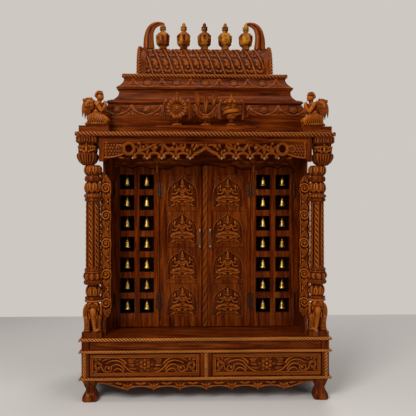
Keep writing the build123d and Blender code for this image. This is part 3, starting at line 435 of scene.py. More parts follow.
def stroke(u, v, path, radius, tip=None):
    # a round-backed ridge: at each point, the highest of the balls whose centres run along the path
    tip = radius if tip is None else tip
    path = np.asarray(path, float)
    best = np.zeros_like(u)
    sizes = np.linspace(radius, tip, len(path))
    for (pu, pv), size in zip(path, sizes):
        near = (np.abs(u - pu) < size) & (np.abs(v - pv) < size)
        lift = np.sqrt(np.clip(size * size - (u[near] - pu) ** 2 - (v[near] - pv) ** 2, 0, None)) / radius
        best[near] = np.maximum(best[near], lift)
    return best


def scroll(cu, cv, outer, inner, start, turns, count=70):
    # a spiral that closes in from outer to inner radius
    t = np.linspace(0, 1, count)
    angle = start + turns * 2 * pi * t
    radius = outer + (inner - outer) * t
    return np.stack([cu + radius * np.cos(angle), cv + radius * np.sin(angle)], -1)


def bezier(points, count=40):
    # a smooth curve through two ends, pulled by the points between them
    points = [np.array([point], float) for point in points]
    t = np.linspace(0, 1, count)[:, None]
    while len(points) > 1:
        points = [(1 - t) * points[i] + t * points[i + 1] for i in range(len(points) - 1)]
    return points[0]


def fieldGrid(width, height, step):
    # points over a board, about step apart, measured from its middle
    u = np.linspace(-width / 2, width / 2, max(2, int(round(width / step)) + 1))
    v = np.linspace(-height / 2, height / 2, max(2, int(round(height / step)) + 1))
    return np.meshgrid(u, v, indexing="ij")


# Carved door panels: a seated four-armed figure on a lotus, under a pointed arch with low foliage
panelLook = {"step": 1.85, "relief": 8.0, "ground": 3.4, "foliage": 1.7}


def doorPanelHeight(u, v, width, height):
    # the highest of the ground and the figure, whose domes, strokes and leaves are each a share of the relief
    look = panelLook
    m = np.abs(u)
    body = look["relief"]
    # ground outside an ogee arch, with a lip along the arch and waves of low foliage
    archHalf = np.interp(v, [-90, -10, 8, 24, 36, 46, 58, 70], [73, 73, 69, 60, 47, 31, 14, 0])
    outside = fade(m - archHalf, 2.0)
    waves = (np.sin(u * 0.42 + 1.5 * np.sin(v * 0.31)) * np.sin(v * 0.40 + 1.4 * np.sin(u * 0.33))) ** 2
    rise = outside * (look["ground"] + look["foliage"] * waves * (v > -14))
    rise = rise + 1.3 * swell(m - archHalf - 3, 1.8) * (v > -40)
    edge = np.minimum(width / 2 - m, height / 2 - np.abs(v))
    rise = np.where(edge < 3, look["ground"] + 1.0, rise)

    def put(shape, share):
        # raises the face to share of the full relief where the shape stands highest
        nonlocal rise
        rise = np.maximum(rise, share * body * shape)

    # crown, head and ears
    for level, reach, tall in ((37, 9.5, 6), (45, 8.5, 8), (54, 6, 8), (61, 3, 6)):
        put(dome(u, v, 0, level, reach, tall), 1.0)
    put(dome(u, v, 0, 25, 9, 11), 1.0)
    put(dome(m, v, 11, 24, 3.5, 6), 0.7)
    # chest, waist and a broad collar
    put(dome(u, v, 0, -2, 20, 18), 0.8)
    put(dome(u, v, 0, -20, 14, 15), 0.8)
    put(dome(m, v, 17, 9, 8, 8), 0.9)
    put(stroke(m, v, bezier([(19, 13), (14, -6), (0, -6)]), 4.0, 4.0), 1.15)
    put(stroke(m, v, bezier([(12, 13), (8, 3), (0, 2)]), 2.6, 2.6), 1.1)
    put(stroke(m, v, bezier([(12, -28), (6, -32), (0, -33)]), 3.0, 3.0), 0.95)
    # raised arms with an emblem in each hand, and lowered arms that rest on the knees
    put(stroke(m, v, bezier([(20, 10), (34, -2), (42, 2), (40, 14)]), 5.6, 4.2), 0.8)
    put(dome(m, v, 39, 23, 6, 12), 0.95)
    put(dome(m, v, 49, 18, 5, 8), 0.7)
    put(stroke(m, v, bezier([(20, 6), (26, -10), (28, -18), (42, -16), (52, -13)]), 5.4, 3.6), 0.95)
    # crossed legs with round knees, and the cushion under them
    put(stroke(m, v, bezier([(12, -30), (30, -30), (44, -34), (58, -46)]), 10.5, 7.5), 1.0)
    put(dome(m, v, 44, -37, 15, 10, -0.35), 1.1)
    put(stroke(m, v, bezier([(58, -47), (40, -52), (4, -44)]), 6.0, 5.0), 0.95)
    put(leaf(u, v, 0, -30, 20, 12, -pi / 2), 0.9)
    put(dome(m, v, 17, -55, 13, 5.5), 1.05)
    put(dome(m, v, 42, -55, 16, 5), 0.85)
    # lotus seat: a broad petal that turns out at each end, with a row of small ones between
    put(leaf(m, v, 34, -66, 32, 13, -0.42), 1.05)
    for k in range(-3, 4):
        put(leaf(u, v, 9.5 * k, -63, 15, 12, -pi / 2), 0.75)
    put(roundBack(v + 62, 2.5) * (m < 52), 0.7)
    put(roundBack(v + 79, 3) * (m < 62), 0.6)
    return rise


def carvedBoard(width, height, step, heightOf, face, back, deepest, centre):
    # a board seen from the front, whose face stands out by heightOf in front of face
    u, v = fieldGrid(width, height, step)
    rise = heightOf(u, v)
    front = np.stack([centre[0] + u, face - rise, centre[1] + v], -1)
    return boardPart(front, 1, back, wearAndShadeOf(rise, deepest, max(2, int(round(6 / step)))))


panelRows = 4
panelGap = 18
for hand in ("left", "right"):
    low, high = cadSpan("door_panels_" + hand)
    wide = high[0] - low[0]
    tall = (high[2] - low[2] - (panelRows - 1) * panelGap) / panelRows
    parts = []
    for row in range(panelRows):
        centre = ((low[0] + high[0]) / 2, low[2] + tall / 2 + row * (tall + panelGap))
        parts.append(carvedBoard(
            wide, tall, panelLook["step"], lambda u, v: doorPanelHeight(u, v, wide, tall),
            low[1] + 3, high[1], panelLook["relief"], centre))
    makePiece("carvedDoorPanels" + hand.capitalize(), parts, teakCarved, "door_" + hand,
              ("door_panels_" + hand,))
print("door panels carved")

# Drawer fronts: a plain border round a sunk field with a rosette and running acanthus scrolls
drawerLook = {"step": 1.85, "border": 15, "sunk": 7.0, "relief": 7.0}


def drawerHeight(u, v, width, height):
    # a border that drops to the sunk field, and over the field the highest of its flowers, stems and leaves
    look = drawerLook
    inside = np.minimum(width / 2 - look["border"] - np.abs(u), height / 2 - look["border"] - np.abs(v))
    rise = look["sunk"] * (1 - fade(inside, 2.0)) - 1.6 * swell(inside + 4, 1.6)
    m = np.abs(u)
    lift = look["relief"]
    carved = np.zeros_like(u)

    def put(shape, share):
        # raises the carving to share of the full relief where the shape stands highest
        nonlocal carved
        carved = np.maximum(carved, share * lift * shape)

    # an open flower in the middle: round petals, a ringed eye and leaves that show under it
    for k in range(6):
        angle = pi / 6 + pi * k / 3
        put(dome(u, v, 18 * math.cos(angle), 4 + 18 * math.sin(angle), 11.5, 11.5), 0.9)
        put(leaf(u, v, 24 * math.cos(angle + 0.5), 2 + 24 * math.sin(angle + 0.5), 20, 13, angle + 0.5), 0.65)
    carved = carved - 3.0 * swell(np.hypot(u, v - 4) - 11, 2.0)
    put(dome(u, v, 0, 4, 9, 9), 1.1)
    # a small flower and two leaves on each side of it
    for k in range(5):
        angle = 0.3 + 2 * pi * k / 5
        put(dome(m, v, 66 + 9 * math.cos(angle), 22 + 9 * math.sin(angle), 7, 7), 0.85)
    put(dome(m, v, 66, 22, 5, 5), 1.1)
    put(leaf(m, v, 44, 34, 26, 13, -0.5), 0.8)
    put(leaf(m, v, 48, -2, 34, 15, 0.15), 0.85)
    put(leaf(m, v, 40, -20, 40, 13, 0.1), 0.7)
    # the main stem sweeps up and outwards, and long leaf fingers curl away from it
    put(stroke(m, v, bezier([(6, -36), (60, -44), (92, -24), (104, 6), (118, 36)]), 5.0, 4.0), 1.0)
    for points, thick in (([(92, 8), (108, 42), (160, 44), (204, 20)], 5.6),
                          ([(98, -8), (112, 26), (150, 32), (186, 8)], 5.2),
                          ([(100, -22), (116, 6), (140, 12), (164, -8)], 5.0),
                          ([(102, -34), (118, -14), (134, -10), (150, -26)], 4.8)):
        put(stroke(m, v, bezier(points), thick, 3.0), 1.05)
    put(dome(m, v, 172, -14, 9, 9), 1.0)
    put(stroke(m, v, scroll(178, -16, 19, 11, 2.6, 0.8), 4.2, 3.0), 0.9)
    put(stroke(m, v, bezier([(150, -34), (190, -46), (212, -20), (208, 6)]), 4.6, 3.6), 0.95)
    for angle, cu, cv, length in ((0.9, 206, -6, 40), (0.1, 208, 8, 40), (-0.7, 210, -4, 42),
                                  (1.9, 238, -2, 34), (-2.0, 240, 0, 34), (0.35, 226, 24, 34),
                                  (-0.3, 226, -28, 34), (2.7, 150, 38, 26), (1.2, 214, 22, 22)):
        put(leaf(m, v, cu, cv, length, 14, angle), 0.9)
    put(dome(m, v, 238, 0, 7, 7), 1.05)
    return np.where(inside > 2, np.maximum(carved, 0.3), rise)


for hand in ("left", "right"):
    low, high = cadSpan("drawer_front_" + hand)
    wide, tall = high[0] - low[0], high[2] - low[2]
    part = carvedBoard(
        wide, tall, drawerLook["step"],
        lambda u, v: np.minimum(drawerHeight(u, v, wide, tall), drawerLook["sunk"] + 0.4),
        low[1] + drawerLook["sunk"] + 0.5, high[1], drawerLook["relief"],
        ((low[0] + high[0]) / 2, (low[2] + high[2]) / 2))
    makePiece("carvedDrawerFront" + hand.capitalize(), [part], teakCarvedAcross, "drawer_" + hand,
              ("drawer_front_" + hand,))
print("drawer fronts carved")

# Rope mouldings: a round bar cut with slanting strands
ropeLook = {"sides": 10, "perStrand": 6, "depth": 0.42, "strands": 3}


def distanceAlong(line):
    # how far along the line each of its points is
    return np.concatenate([[0], np.cumsum(np.linalg.norm(np.diff(line, axis=0), axis=1))])


def frameAlong(path, up):
    # direction, sideways and upward unit vectors at each point of a path
    direction = np.gradient(path, axis=0)
    direction /= np.linalg.norm(direction, axis=1, keepdims=True)
    side = np.cross(direction, up)
    side /= np.linalg.norm(side, axis=1, keepdims=True)
    return direction, side, np.cross(side, direction)


def tubePart(path, radiusUp, radiusSide=None, sides=10, up=(0, 1, 0), relief=0.6, shape=None):
    # a rounded bar along a path. shape(distance, angle) scales its radius and gives its relief
    path = np.asarray(path, float)
    radiusUp = np.broadcast_to(radiusUp, (len(path),))
    radiusSide = radiusUp if radiusSide is None else np.broadcast_to(radiusSide, (len(path),))
    direction, side, rise = frameAlong(path, np.broadcast_to(up, path.shape))
    distance = distanceAlong(path)[:, None]
    angle = anglesRound(sides)
    factor, tone = (1.0, relief) if shape is None else shape(distance, angle)
    across = (radiusSide[:, None] * np.cos(angle) * factor)[..., None]
    above = (radiusUp[:, None] * np.sin(angle) * factor)[..., None]
    points = path[:, None, :] + side[:, None, :] * across + rise[:, None, :] * above
    return ringPart(points, np.broadcast_to(tone, points.shape[:2]))


def ropePart(start, end, radius, spacing, up=(0, 0, 1)):
    # strands: the radius dips along lines that wind round the bar, spacing apart
    start, end = np.array(start, float), np.array(end, float)
    count = max(4, int(np.linalg.norm(end - start) / spacing * ropeLook["perStrand"]))
    path = start + (end - start) * np.linspace(0, 1, count)[:, None]
    return tubePart(path, radius, sides=ropeLook["sides"], up=up,
                    shape=lambda d, a: strandShape(d, a, spacing))


def strandShape(distance, angle, spacing):
    # |sin| of distance and angle together is 1 along a strand's back and 0 in the cut between two
    wave = np.abs(np.sin(pi * distance / spacing + ropeLook["strands"] / 2 * angle)) ** 1.1
    # the tone is painted shade in the cuts between strands, and rubbed wear with painted highlight on their
    # backs
    return 1 - ropeLook["depth"] * (1 - wave), -0.1 + 1.12 * wave


def creased(wave, depth, tone, fall):
    # where the wave is 1, the radius is smaller by depth and the tone lower by fall, a painted shade in the
    # crease
    return 1 - depth * wave, tone - fall * wave


def ropesRound(half, front, back, reach, low, high, spacing):
    # one rope along the front and one back along each side, standing out by reach
    radius = (high - low) / 2
    level = (high + low) / 2
    y = front - reach + radius
    x = half + reach - radius
    parts = [ropePart((-half - reach, y, level), (half + reach, y, level), radius, spacing)]
    for sign in (-1, 1):
        parts.append(ropePart((sign * x, front, level), (sign * x, back, level), radius, spacing))
    return parts


baseLow, baseHigh = cadSpan("base_floor")
deckHigh = cadSpan("base_deck")[1]
railLow, railHigh = cadSpan("mid_rail")
ropeLow, ropeHigh = cadSpan("base_ropes")
ropeReach = ropeHigh[0] - baseHigh[0]
railMiddle = (railLow[2] + railHigh[2]) / 2
baseRopeLook = {"floor": 14, "rail": 13, "deck": 17, "stile": 9.0, "spacing": 15.5, "stileIn": 14}
parts = ropesRound(baseHigh[0], baseLow[1], baseHigh[1], ropeReach, baseLow[2] + 0.5,
                   baseLow[2] + 0.5 + baseRopeLook["floor"], baseRopeLook["spacing"])
parts += ropesRound(baseHigh[0], baseLow[1], baseHigh[1], ropeReach, railMiddle - baseRopeLook["rail"] / 2,
                    railMiddle + baseRopeLook["rail"] / 2, baseRopeLook["spacing"])
parts += ropesRound(baseHigh[0], baseLow[1], baseHigh[1], ropeReach,
                    deckHigh[2] - 0.5 - baseRopeLook["deck"], deckHigh[2] - 0.5, baseRopeLook["spacing"] + 1)
stileX = baseHigh[0] - baseRopeLook["stileIn"]
for x in (-stileX, 0, stileX):
    y = baseLow[1] - ropeReach + baseRopeLook["stile"] + 2
    parts.append(ropePart((x, y, baseLow[2] + baseRopeLook["floor"] + 1),
                          (x, y, railMiddle - baseRopeLook["rail"] / 2), baseRopeLook["stile"],
                          baseRopeLook["spacing"], up=(0, 1, 0)))
makePiece("baseRopes", parts, teakRubbedHighlightRope, "root", ("base_ropes",))

canopyLow, canopyHigh = cadSpan("canopy_board")
canopyRopeHigh = cadSpan("canopy_rope")[1]
upperRopeLook = {"spacing": 18}
makePiece("canopyRope", ropesRound(
    canopyHigh[0], canopyLow[1], canopyHigh[1], canopyRopeHigh[0] - canopyHigh[0], canopyLow[2],
    canopyHigh[2], upperRopeLook["spacing"]), teakRope, "root", ("canopy_rope",))

roofRopeLow, roofRopeHigh = cadSpan("roof_rope")
radius = (roofRopeHigh[2] - roofRopeLow[2]) / 2
level = (roofRopeHigh[2] + roofRopeLow[2]) / 2
x, yFront, yBack = roofRopeHigh[0] - radius, roofRopeLow[1] + radius, roofRopeHigh[1] - radius
parts = [boxPart((-x, yFront, roofRopeLow[2]), (x, yBack, roofRopeHigh[2]))]
for y in (yFront, yBack):
    parts.append(ropePart((-x - radius, y, level), (x + radius, y, level), radius, upperRopeLook["spacing"]))
for sign in (-1, 1):
    parts.append(ropePart((sign * x, yFront - radius, level), (sign * x, yBack + radius, level), radius,
                          upperRopeLook["spacing"]))
makePiece("roofRope", parts, teakRope, "root", ("roof_rope",))
print("ropes laid")


# Turned and moulded work

def turnedProfile(members, rowMm):
    # members: height, then lower, middle and upper radius, joined by the parabola through the three
    levels, radii, base = [], [], 0.0
    for height, lower, middle, upper in members:
        t = np.linspace(0, 1, 2 if middle is None and height < 40 else max(4, int(height / rowMm)))
        middle = (lower + upper) / 2 if middle is None else middle
        radii.append(lower * (1 - t) * (1 - 2 * t) + 4 * middle * t * (1 - t) + upper * t * (2 * t - 1))
        levels.append(base + height * t)
        base += height
    return np.concatenate(levels), np.concatenate(radii)


def turnedPart(place, members, sides=24, rowMm=4.0, shape=None):
    # a turned post on place. shape(level, angle, radius) gives how far its carving stands out
    level, radius = turnedProfile(members, rowMm)
    angle = anglesRound(sides)
    out = np.zeros((len(level), sides))
    if shape is not None:
        out = out + shape(level[:, None], angle, radius[:, None])
    r = radius[:, None] + out
    points = pointsOf(place[0] + r * np.cos(angle), place[1] + r * np.sin(angle), place[2] + level[:, None])
    tone = 0.58 if shape is None else wearAndShadeOf(out - out.min(), 6.0, 2)
    return ringPart(points, tone)


def ballPart(centre, radii, sides=12, rows=8, tilt=0.0):
    # an ellipsoid, tilted in the XZ plane
    rise = np.linspace(-pi / 2, pi / 2, rows + 2)[1:-1][:, None]
    angle = anglesRound(sides)
    rx, ry, rz = np.broadcast_to(radii, (3,))
    flat = np.cos(rise)
    x, y, z = rx * flat * np.cos(angle), ry * flat * np.sin(angle), rz * np.sin(rise) + 0 * angle
    c, s = math.cos(tilt), math.sin(tilt)
    points = pointsOf(centre[0] + x * c + z * s, centre[1] + y, centre[2] + z * c - x * s)
    return ringPart(points, 0.75)


frontFrame = np.array([(1, 0, 0), (0, 0, 1), (0, -1, 0)], float)


def leafPart(place, length, width, tilt, lift=4.0, thick=2.0, bend=0.0, axes=frontFrame, rows=10, vein=0.4,
             blunt=0.75):
    # a leaf from place along tilt, in the plane of the first two axes, that bulges along the third.
    # Each ring is half an ellipse in front and a flatter one behind, with a groove down the middle
    t = np.linspace(0, 1, rows)
    heading = tilt + bend * t
    step = length / (rows - 1)
    run = np.stack([np.cos(heading), np.sin(heading)], -1) * step
    line = np.concatenate([[[0, 0]], np.cumsum(run[:-1], 0)])
    half = 0.5 * width * (0.10 + 0.90 * np.sin(pi * np.clip(t, 0.02, 0.98) ** blunt))
    half[-1] = 0.04 * width
    angle = np.linspace(0, 2 * pi, 12, endpoint=False)
    across = half[:, None] * np.cos(angle)[None, :]
    bulge = np.where(np.sin(angle) > 0, lift * np.sin(angle) * (1 - vein * swell(np.cos(angle), 0.25)),
                     thick * np.sin(angle))
    out = bulge[None, :] * (half / half.max())[:, None] ** 0.6
    u = line[:, 0:1] - np.sin(heading)[:, None] * across
    v = line[:, 1:2] + np.cos(heading)[:, None] * across
    points = np.array(place) + u[..., None] * axes[0] + v[..., None] * axes[1] + out[..., None] * axes[2]
    # the tone is lighter on the leaf's front as wear and painted highlight, and darker behind and in the
    # groove as painted shade
    return ringPart(points, np.clip(0.5 + 0.42 * out / lift - 0.1, 0, 1))


def curlPart(place, outer, turns, start, thick, thin, count=46):
    # a volute that faces the front: a bar along a spiral that thins as it winds in to a ball
    line = scroll(0, 0, outer, outer * 0.16, start, turns, count)
    path = np.array(place) + line[:, :1] * frontFrame[0] + line[:, 1:] * frontFrame[1]
    return [tubePart(path, np.linspace(thick, thin, count), sides=8, up=frontFrame[2], relief=0.7),
            ballPart(path[-1], thin * 1.5)]


def barPart(points, thick, thin, sides, count, relief):
    # a bar along a smooth curve, whose radius goes evenly from thick to thin
    return tubePart(bezier(points, count), np.linspace(thick, thin, count), sides=sides, up=frontFrame[2],
                    relief=relief)


def coursePart(profile, centreY, lessDeep, step, heightOf=None, deepest=5.0):
    # a moulding round four sides. profile: half widths and levels. Each side stands out by
    # heightOf(distance from its middle, share of the way up), which fades at the mitres
    halfWide, level = np.array(profile, float).T
    halfDeep = halfWide - lessDeep
    share = (level - level[0]) / (level[-1] - level[0])
    xs, ys, rises = [], [], []
    for side in range(4):
        reach, stand = (halfWide, halfDeep) if side % 2 == 0 else (halfDeep, halfWide)
        t = np.linspace(-1, 1, max(3, int(2 * reach.max() / step)) + 1)[:-1]
        along = reach[:, None] * t
        rise = np.zeros_like(along)
        if heightOf is not None:
            rise = heightOf(along, share[:, None] + 0 * along) * fade(reach[:, None] - np.abs(along), 5)
        out = stand[:, None] + rise
        x, y = ((along, -out), (out, along), (-along, out), (-out, -along))[side]
        xs.append(x)
        ys.append(y)
        rises.append(rise)
    x, y, rise = (np.concatenate(run, 1) for run in (xs, ys, rises))
    points = pointsOf(x, centreY + y, level[:, None])
    return ringPart(points, wearAndShadeOf(rise, deepest) if heightOf is not None else 0.55)


# Roof: carved cornices, a smooth torus and cove between them, and the lip
roofMiddle = sum(span[1] for span in cadSpan("roof_plinth")) / 2
plinthLow, plinthHigh = cadSpan("roof_plinth")
lessDeep = plinthHigh[0] - (plinthHigh[1] - plinthLow[1]) / 2
swagLook = {"pitch": 149.0, "tall": 58, "relief": 4.4, "bandWide": 0.10, "medallion": 20, "gridAlong": 3.2}


def swagHeight(along, share):
    # a deep swag in each bay, edged by a groove, with a ringed medallion in it and a tent between bays
    look = swagLook
    pitch = look["pitch"]
    u = (along + pitch / 2) % pitch - pitch / 2
    v = share * look["tall"]
    q = np.sqrt((u / 81) ** 2 + ((look["tall"] - v) / 57) ** 2)
    band = look["relief"] * roundBack(q - 0.90, look["bandWide"])
    ridge = 2.0 * swell(q - 0.72, 0.03)
    spot = np.hypot(u, v - 32)
    r = look["medallion"]
    medal = look["relief"] * fade(r - spot, 3) - 3.4 * swell(spot - 13, 1.9)
    inside = np.where(spot < r + 5, medal, np.maximum(band + ridge, 1.5))
    crease = 1 - 0.4 * swell(np.abs(u) - pitch / 2, 2.2)
    tent = look["relief"] * 0.85 * fade(q - 1.0, 0.06) * crease
    rise = np.where(q < 1.0, inside, tent)
    return rise * fade(share, 0.05) * fade(1 - share, 0.05)


def bandProfile(name, foot, head, bow, rows):
    # half widths from foot to head, bowed outwards by bow in the middle
    low, high = cadSpan(name)
    t = np.linspace(0, 1, rows)
    return np.stack([foot + (head - foot) * t + bow * np.sin(pi * t), low[2] + (high[2] - low[2]) * t], -1)


lowerHigh, upperHigh = (cadSpan(name)[1] for name in ("lower_cornice", "upper_cornice"))
cornices = {
    "lower": bandProfile("lower_cornice", lowerHigh[0] - 6, lowerHigh[0] - 24, 3, 25),
    "upper": bandProfile("upper_cornice", upperHigh[0] - 3, upperHigh[0] - 41, -9, 24),
}
for name, profile in cornices.items():
    part = coursePart(profile, roofMiddle, lessDeep, swagLook["gridAlong"], swagHeight,
                      2.0 * swagLook["relief"])
    makePiece("carvedCornice" + name.capitalize(), [part], teakCarvedAcross, "root", (name + "_cornice",))

mouldLow, mouldHigh = cadSpan("roof_moulding")
mouldLook = {"torus": 22, "cove": 64, "lip": 8, "bulge": 11}
t = np.linspace(0, 1, 13)
outer = mouldHigh[0]
torus = np.stack([outer - mouldLook["bulge"] * (1 - np.sin(pi * t)),
                  mouldLow[2] + mouldLook["torus"] * t], -1)
cove = np.stack([outer - 24 - 30 * t - 13 * np.sin(pi * t),
                 mouldLow[2] + mouldLook["torus"] + mouldLook["cove"] * t], -1)
lip = np.array([(outer - 47, 0), (outer - 45, 2), (outer - 45, 6), (outer - 47, mouldLook["lip"])], float)
lip[:, 1] += mouldHigh[2] - mouldLook["lip"]
fillet = np.array([(outer - 19, mouldLow[2] + 22), (outer - 19, mouldLow[2] + 26)])
parts = [coursePart(profile, roofMiddle, lessDeep, 60) for profile in (torus, cove, lip, fillet)]
makePiece("roofMoulding", parts, teakAcross, "root", ("roof_moulding",), 40)

# Barrel: a vault with a carved diagonal lattice and a boss in each opening
barrelLow, barrelHigh = cadSpan("barrel_roof")
vault = {"deep": (barrelHigh[1] - barrelLow[1]) / 2, "tall": barrelHigh[2] - barrelLow[2],
         "base": barrelLow[2], "half": barrelHigh[0], "cell": 54.0, "slope": 0.34, "bossUp": 66,
         "quarter": 0.0, "relief": 6.5, "grid": 3.0}


def vaultRing(outside, count):
    # the arch from the back foot over the top to the front foot, with its outward direction
    angle = np.linspace(0, pi, count)
    deep, tall = vault["deep"] + outside, vault["tall"] + outside
    line = np.stack([deep * np.cos(angle), tall * np.sin(angle)], -1)
    normal = np.stack([np.cos(angle) / deep, np.sin(angle) / tall], -1)
    return line, normal / np.linalg.norm(normal, axis=1, keepdims=True)


def barrelHeight(x, s):
    # slanting straps, a row of hooked bosses low down and rows of leaves above. s: distance from the ridge
    look = vault
    q = look["quarter"] - np.abs(s)
    cell = look["cell"]
    slant = x + look["slope"] * q
    across = ((slant / cell + 0.5) % 1 - 0.5) * cell
    strap = roundBack(across, 6.0)
    rise = look["relief"] * 0.8 * strap
    u = ((slant / cell) % 1 - 0.5) * cell
    v = q - look["bossUp"]
    boss = dome(u, v, 2, 0, 18.5, 24) - 0.75 * swell(np.hypot(u + 12, v - 3), 8.5)
    rise = highest(rise, look["relief"] * 1.25 * boss, look["relief"] * dome(u, v, 5, -26, 6.5, 6.5))
    for up, tilt in ((44, 0.9), (44, 2.3), (84, 0.9), (84, 2.3), (122, 0.9), (122, 2.3), (-44, 0.5),
                     (-44, 2.6)):
        rise = np.maximum(rise, 0.9 * look["relief"] * leaf(u, v, 0, up - 8, 26, 14, tilt))
    for up in (60, 100, 138):
        rise = np.maximum(rise, 0.9 * look["relief"] * dome(u, v, 0, up, 5.5, 5.5))
    return rise * fade(q, 5)


around = int(1.05 * pi * math.sqrt((vault["deep"] ** 2 + vault["tall"] ** 2) / 2) / vault["grid"])
line, normal = vaultRing(-4, around)
x = np.linspace(-vault["half"], vault["half"], int(2 * vault["half"] / vault["grid"]))
distance = distanceAlong(line)
vault["quarter"] = distance[-1] / 2
xx, ss = np.meshgrid(x, distance[::-1] - distance[-1] / 2, indexing="ij")
rise = barrelHeight(xx, ss)
points = pointsOf(xx, roofMiddle + line[:, 0] + rise * normal[:, 0],
                  vault["base"] + line[:, 1] + rise * normal[:, 1])
makePiece("carvedBarrel", [ringPart(points, wearAndShadeOf(rise, 1.6 * vault["relief"], 3))], teakCarvedAcross,
          "root", ("barrel_roof",))

# Gables: a board and a rope rim at each end, with a moulded arch and a sunburst on the end face
gable = {"ropeAt": 38, "ropeSpacing": 17, "rays": 9, "rayAt": 28}
parts = []
for sign in (-1, 1):
    rings = []
    start = vault["half"]
    for x, outside, shrink in ((0, 8, 1), (26, 8, 1), (26, 3, 1), (32, 3, 1), (34, 0, 0.97), (36, 0, 0.92),
                               (34, 0, 0.87), (29, 0, 0.85), (28, 0, 0.80), (28, 0, 0.30), (33, 0, 0.27),
                               (35, 0, 0.2)):
        line, normal = vaultRing(outside, 41)
        line = np.concatenate([line, [[line[-1, 0] * 0.5, 0], [line[0, 0] * 0.5, 0]]])
        line = np.array([0, 0.36 * vault["tall"]]) * (1 - shrink) + line * shrink
        rings.append(pointsOf(sign * (start + x), roofMiddle + line[:, 0], vault["base"] + line[:, 1]))
    parts.append(ringPart(np.array(rings), 0.55))
    line, normal = vaultRing(3.5, 400)
    steps = distanceAlong(line)
    even = np.linspace(0, steps[-1], 150)
    line = np.stack([np.interp(even, steps, line[:, 0]), np.interp(even, steps, line[:, 1])], -1)
    path = pointsOf(sign * (start + gable["ropeAt"]), roofMiddle + line[:, 0], vault["base"] + line[:, 1])
    path[[0, -1], 2] += 6
    parts.append(tubePart(path, 11.5, 12.0, sides=12, up=(sign, 0, 0),
                          shape=lambda d, a: strandShape(d, a, gable["ropeSpacing"])))
    axes = np.array([(0, 1, 0), (0, 0, 1), (sign, 0, 0)], float)
    for k in range(gable["rays"]):
        tilt = pi * (0.04 + 0.115 * k)
        place = (sign * (start + gable["rayAt"]), roofMiddle + 12 * math.cos(tilt),
                 vault["base"] + 0.30 * vault["tall"] + 12 * math.sin(tilt))
        parts.append(leafPart(place, 52, 16, tilt, 4, 2, axes=axes))
makePiece("carvedGables", parts, teakCarved, "root", ("gable_ends",))

# Horns and finials
hornLow, hornHigh = cadSpan("horns")
hornLook = {"wide": 31, "tip": 6, "thick": 15, "below": 4.5}
parts = []
for sign in (-1, 1):
    outer, top = hornHigh[0], hornHigh[2] - hornLook["below"]
    middle = [(outer - 31, hornLow[2] + 4), (outer - 24, hornLow[2] + 80), (outer - 30, top - 16),
              (outer - 70, top - 2), (outer - 108, top - 8)]
    line = bezier(middle, 48)
    path = pointsOf(sign * line[:, 0], roofMiddle, line[:, 1])
    t = np.linspace(0, 1, 48)
    side = hornLook["tip"] + (hornLook["wide"] - hornLook["tip"]) * (1 - t) ** 0.8
    # the groove's tone is darker, a painted shade along it
    groove = lambda d, a: (1 - 0.15 * np.abs(np.cos(2 * a)) ** 10 * (np.abs(np.sin(a)) > 0.3),
                           0.7 - 0.6 * np.abs(np.cos(2 * a)) ** 10)
    parts.append(tubePart(path, np.clip(side * 0.62, 5, hornLook["thick"]), side, sides=28, up=(0, 1, 0),
                          shape=groove))
makePiece("horns", parts, teakCarved, "root", ("horns",), 40)

finialLow, finialHigh = cadSpan("finials")
finialLook = {"count": 5, "half": 40, "facets": 8}
finialMembers = ((6, 22, 23, 21), (12, 20, 21, 22), (12, 24, 32, 36), (15, 36, 38, 38.5),
                 (26, 38.5, 39, 40), (3, 40, 39, 36), (12, 36, 32, 27), (9, 27, 19, 14), (8, 12, 11.5, 12),
                 (10, 15, 18, 17), (3, 14, 13.5, 14), (8, 16, 17.5, 15), (6, 12, 10.5, 10), (16, 10, 8.5, 2))


def finialShape(level, angle, radius):
    # flat facets on the urn, with a crease between them, and a groove round it at its foot
    urn = fade(level - 36, 5) * fade(76 - level, 5)
    crease = np.abs(np.cos(angle * finialLook["facets"] / 2)) ** 6
    return -urn * 0.09 * radius * crease - 2.4 * swell(level - 33, 1.8)


parts = []
reach = finialHigh[0] - finialLook["half"]
for x in np.linspace(-reach, reach, finialLook["count"]):
    parts.append(turnedPart((x, roofMiddle, finialLow[2]), finialMembers, 32, 3.0, finialShape))
makePiece("finials", parts, teakReflectionGold, "root", ("finials",), 44)
print("roof done")

# Pillars: fluted shafts between carved vases and cushions
pillarLow, pillarHigh = cadSpan("pillars")
elephantLow, elephantHigh = cadSpan("elephants")
pillarLook = {"inset": 47, "sides": 64, "row": 3.1, "petals": 8, "flutes": 12, "bead": 26}
pillarX = elephantHigh[0] - pillarLook["inset"]
pillarY = (cadSpan("plinths")[0][1] + cadSpan("plinths")[1][1]) / 2
belowShaft = ((14, 38, 41, 38), (60, 27, 34, 25), (3, 40, 42, 45), (14, 45, 46.5, 45), (48, 41, 46.5, 41),
              (14, 38, 43, 38))
aboveShaft = ((14, 38, 41, 38), (24, 35, 42, 35), (58, 33, 39, 28), (26, 36, 40.5, 36), (53, 32, 40, 34))
turnedHeight = sum(member[0] for member in belowShaft + aboveShaft)
shaftHeight = pillarHigh[2] - pillarLow[2] - turnedHeight
pillarMembers = belowShaft + ((shaftHeight, 35, None, 33),) + aboveShaft
starts = np.concatenate([[0], np.cumsum([member[0] for member in pillarMembers])])


def within(level, k):
    # height above the foot of member k, and whether the level lies on it
    return level - starts[k], (level > starts[k] + 0.3) & (level < starts[k + 1] - 0.3)


def sectorAcross(angle, count, radius, turn=0.0):
    # distance from the middle line of the nearest of count equal sectors
    return ((angle * count / (2 * pi) + turn) % 1 - 0.5) * 2 * pi * radius / count


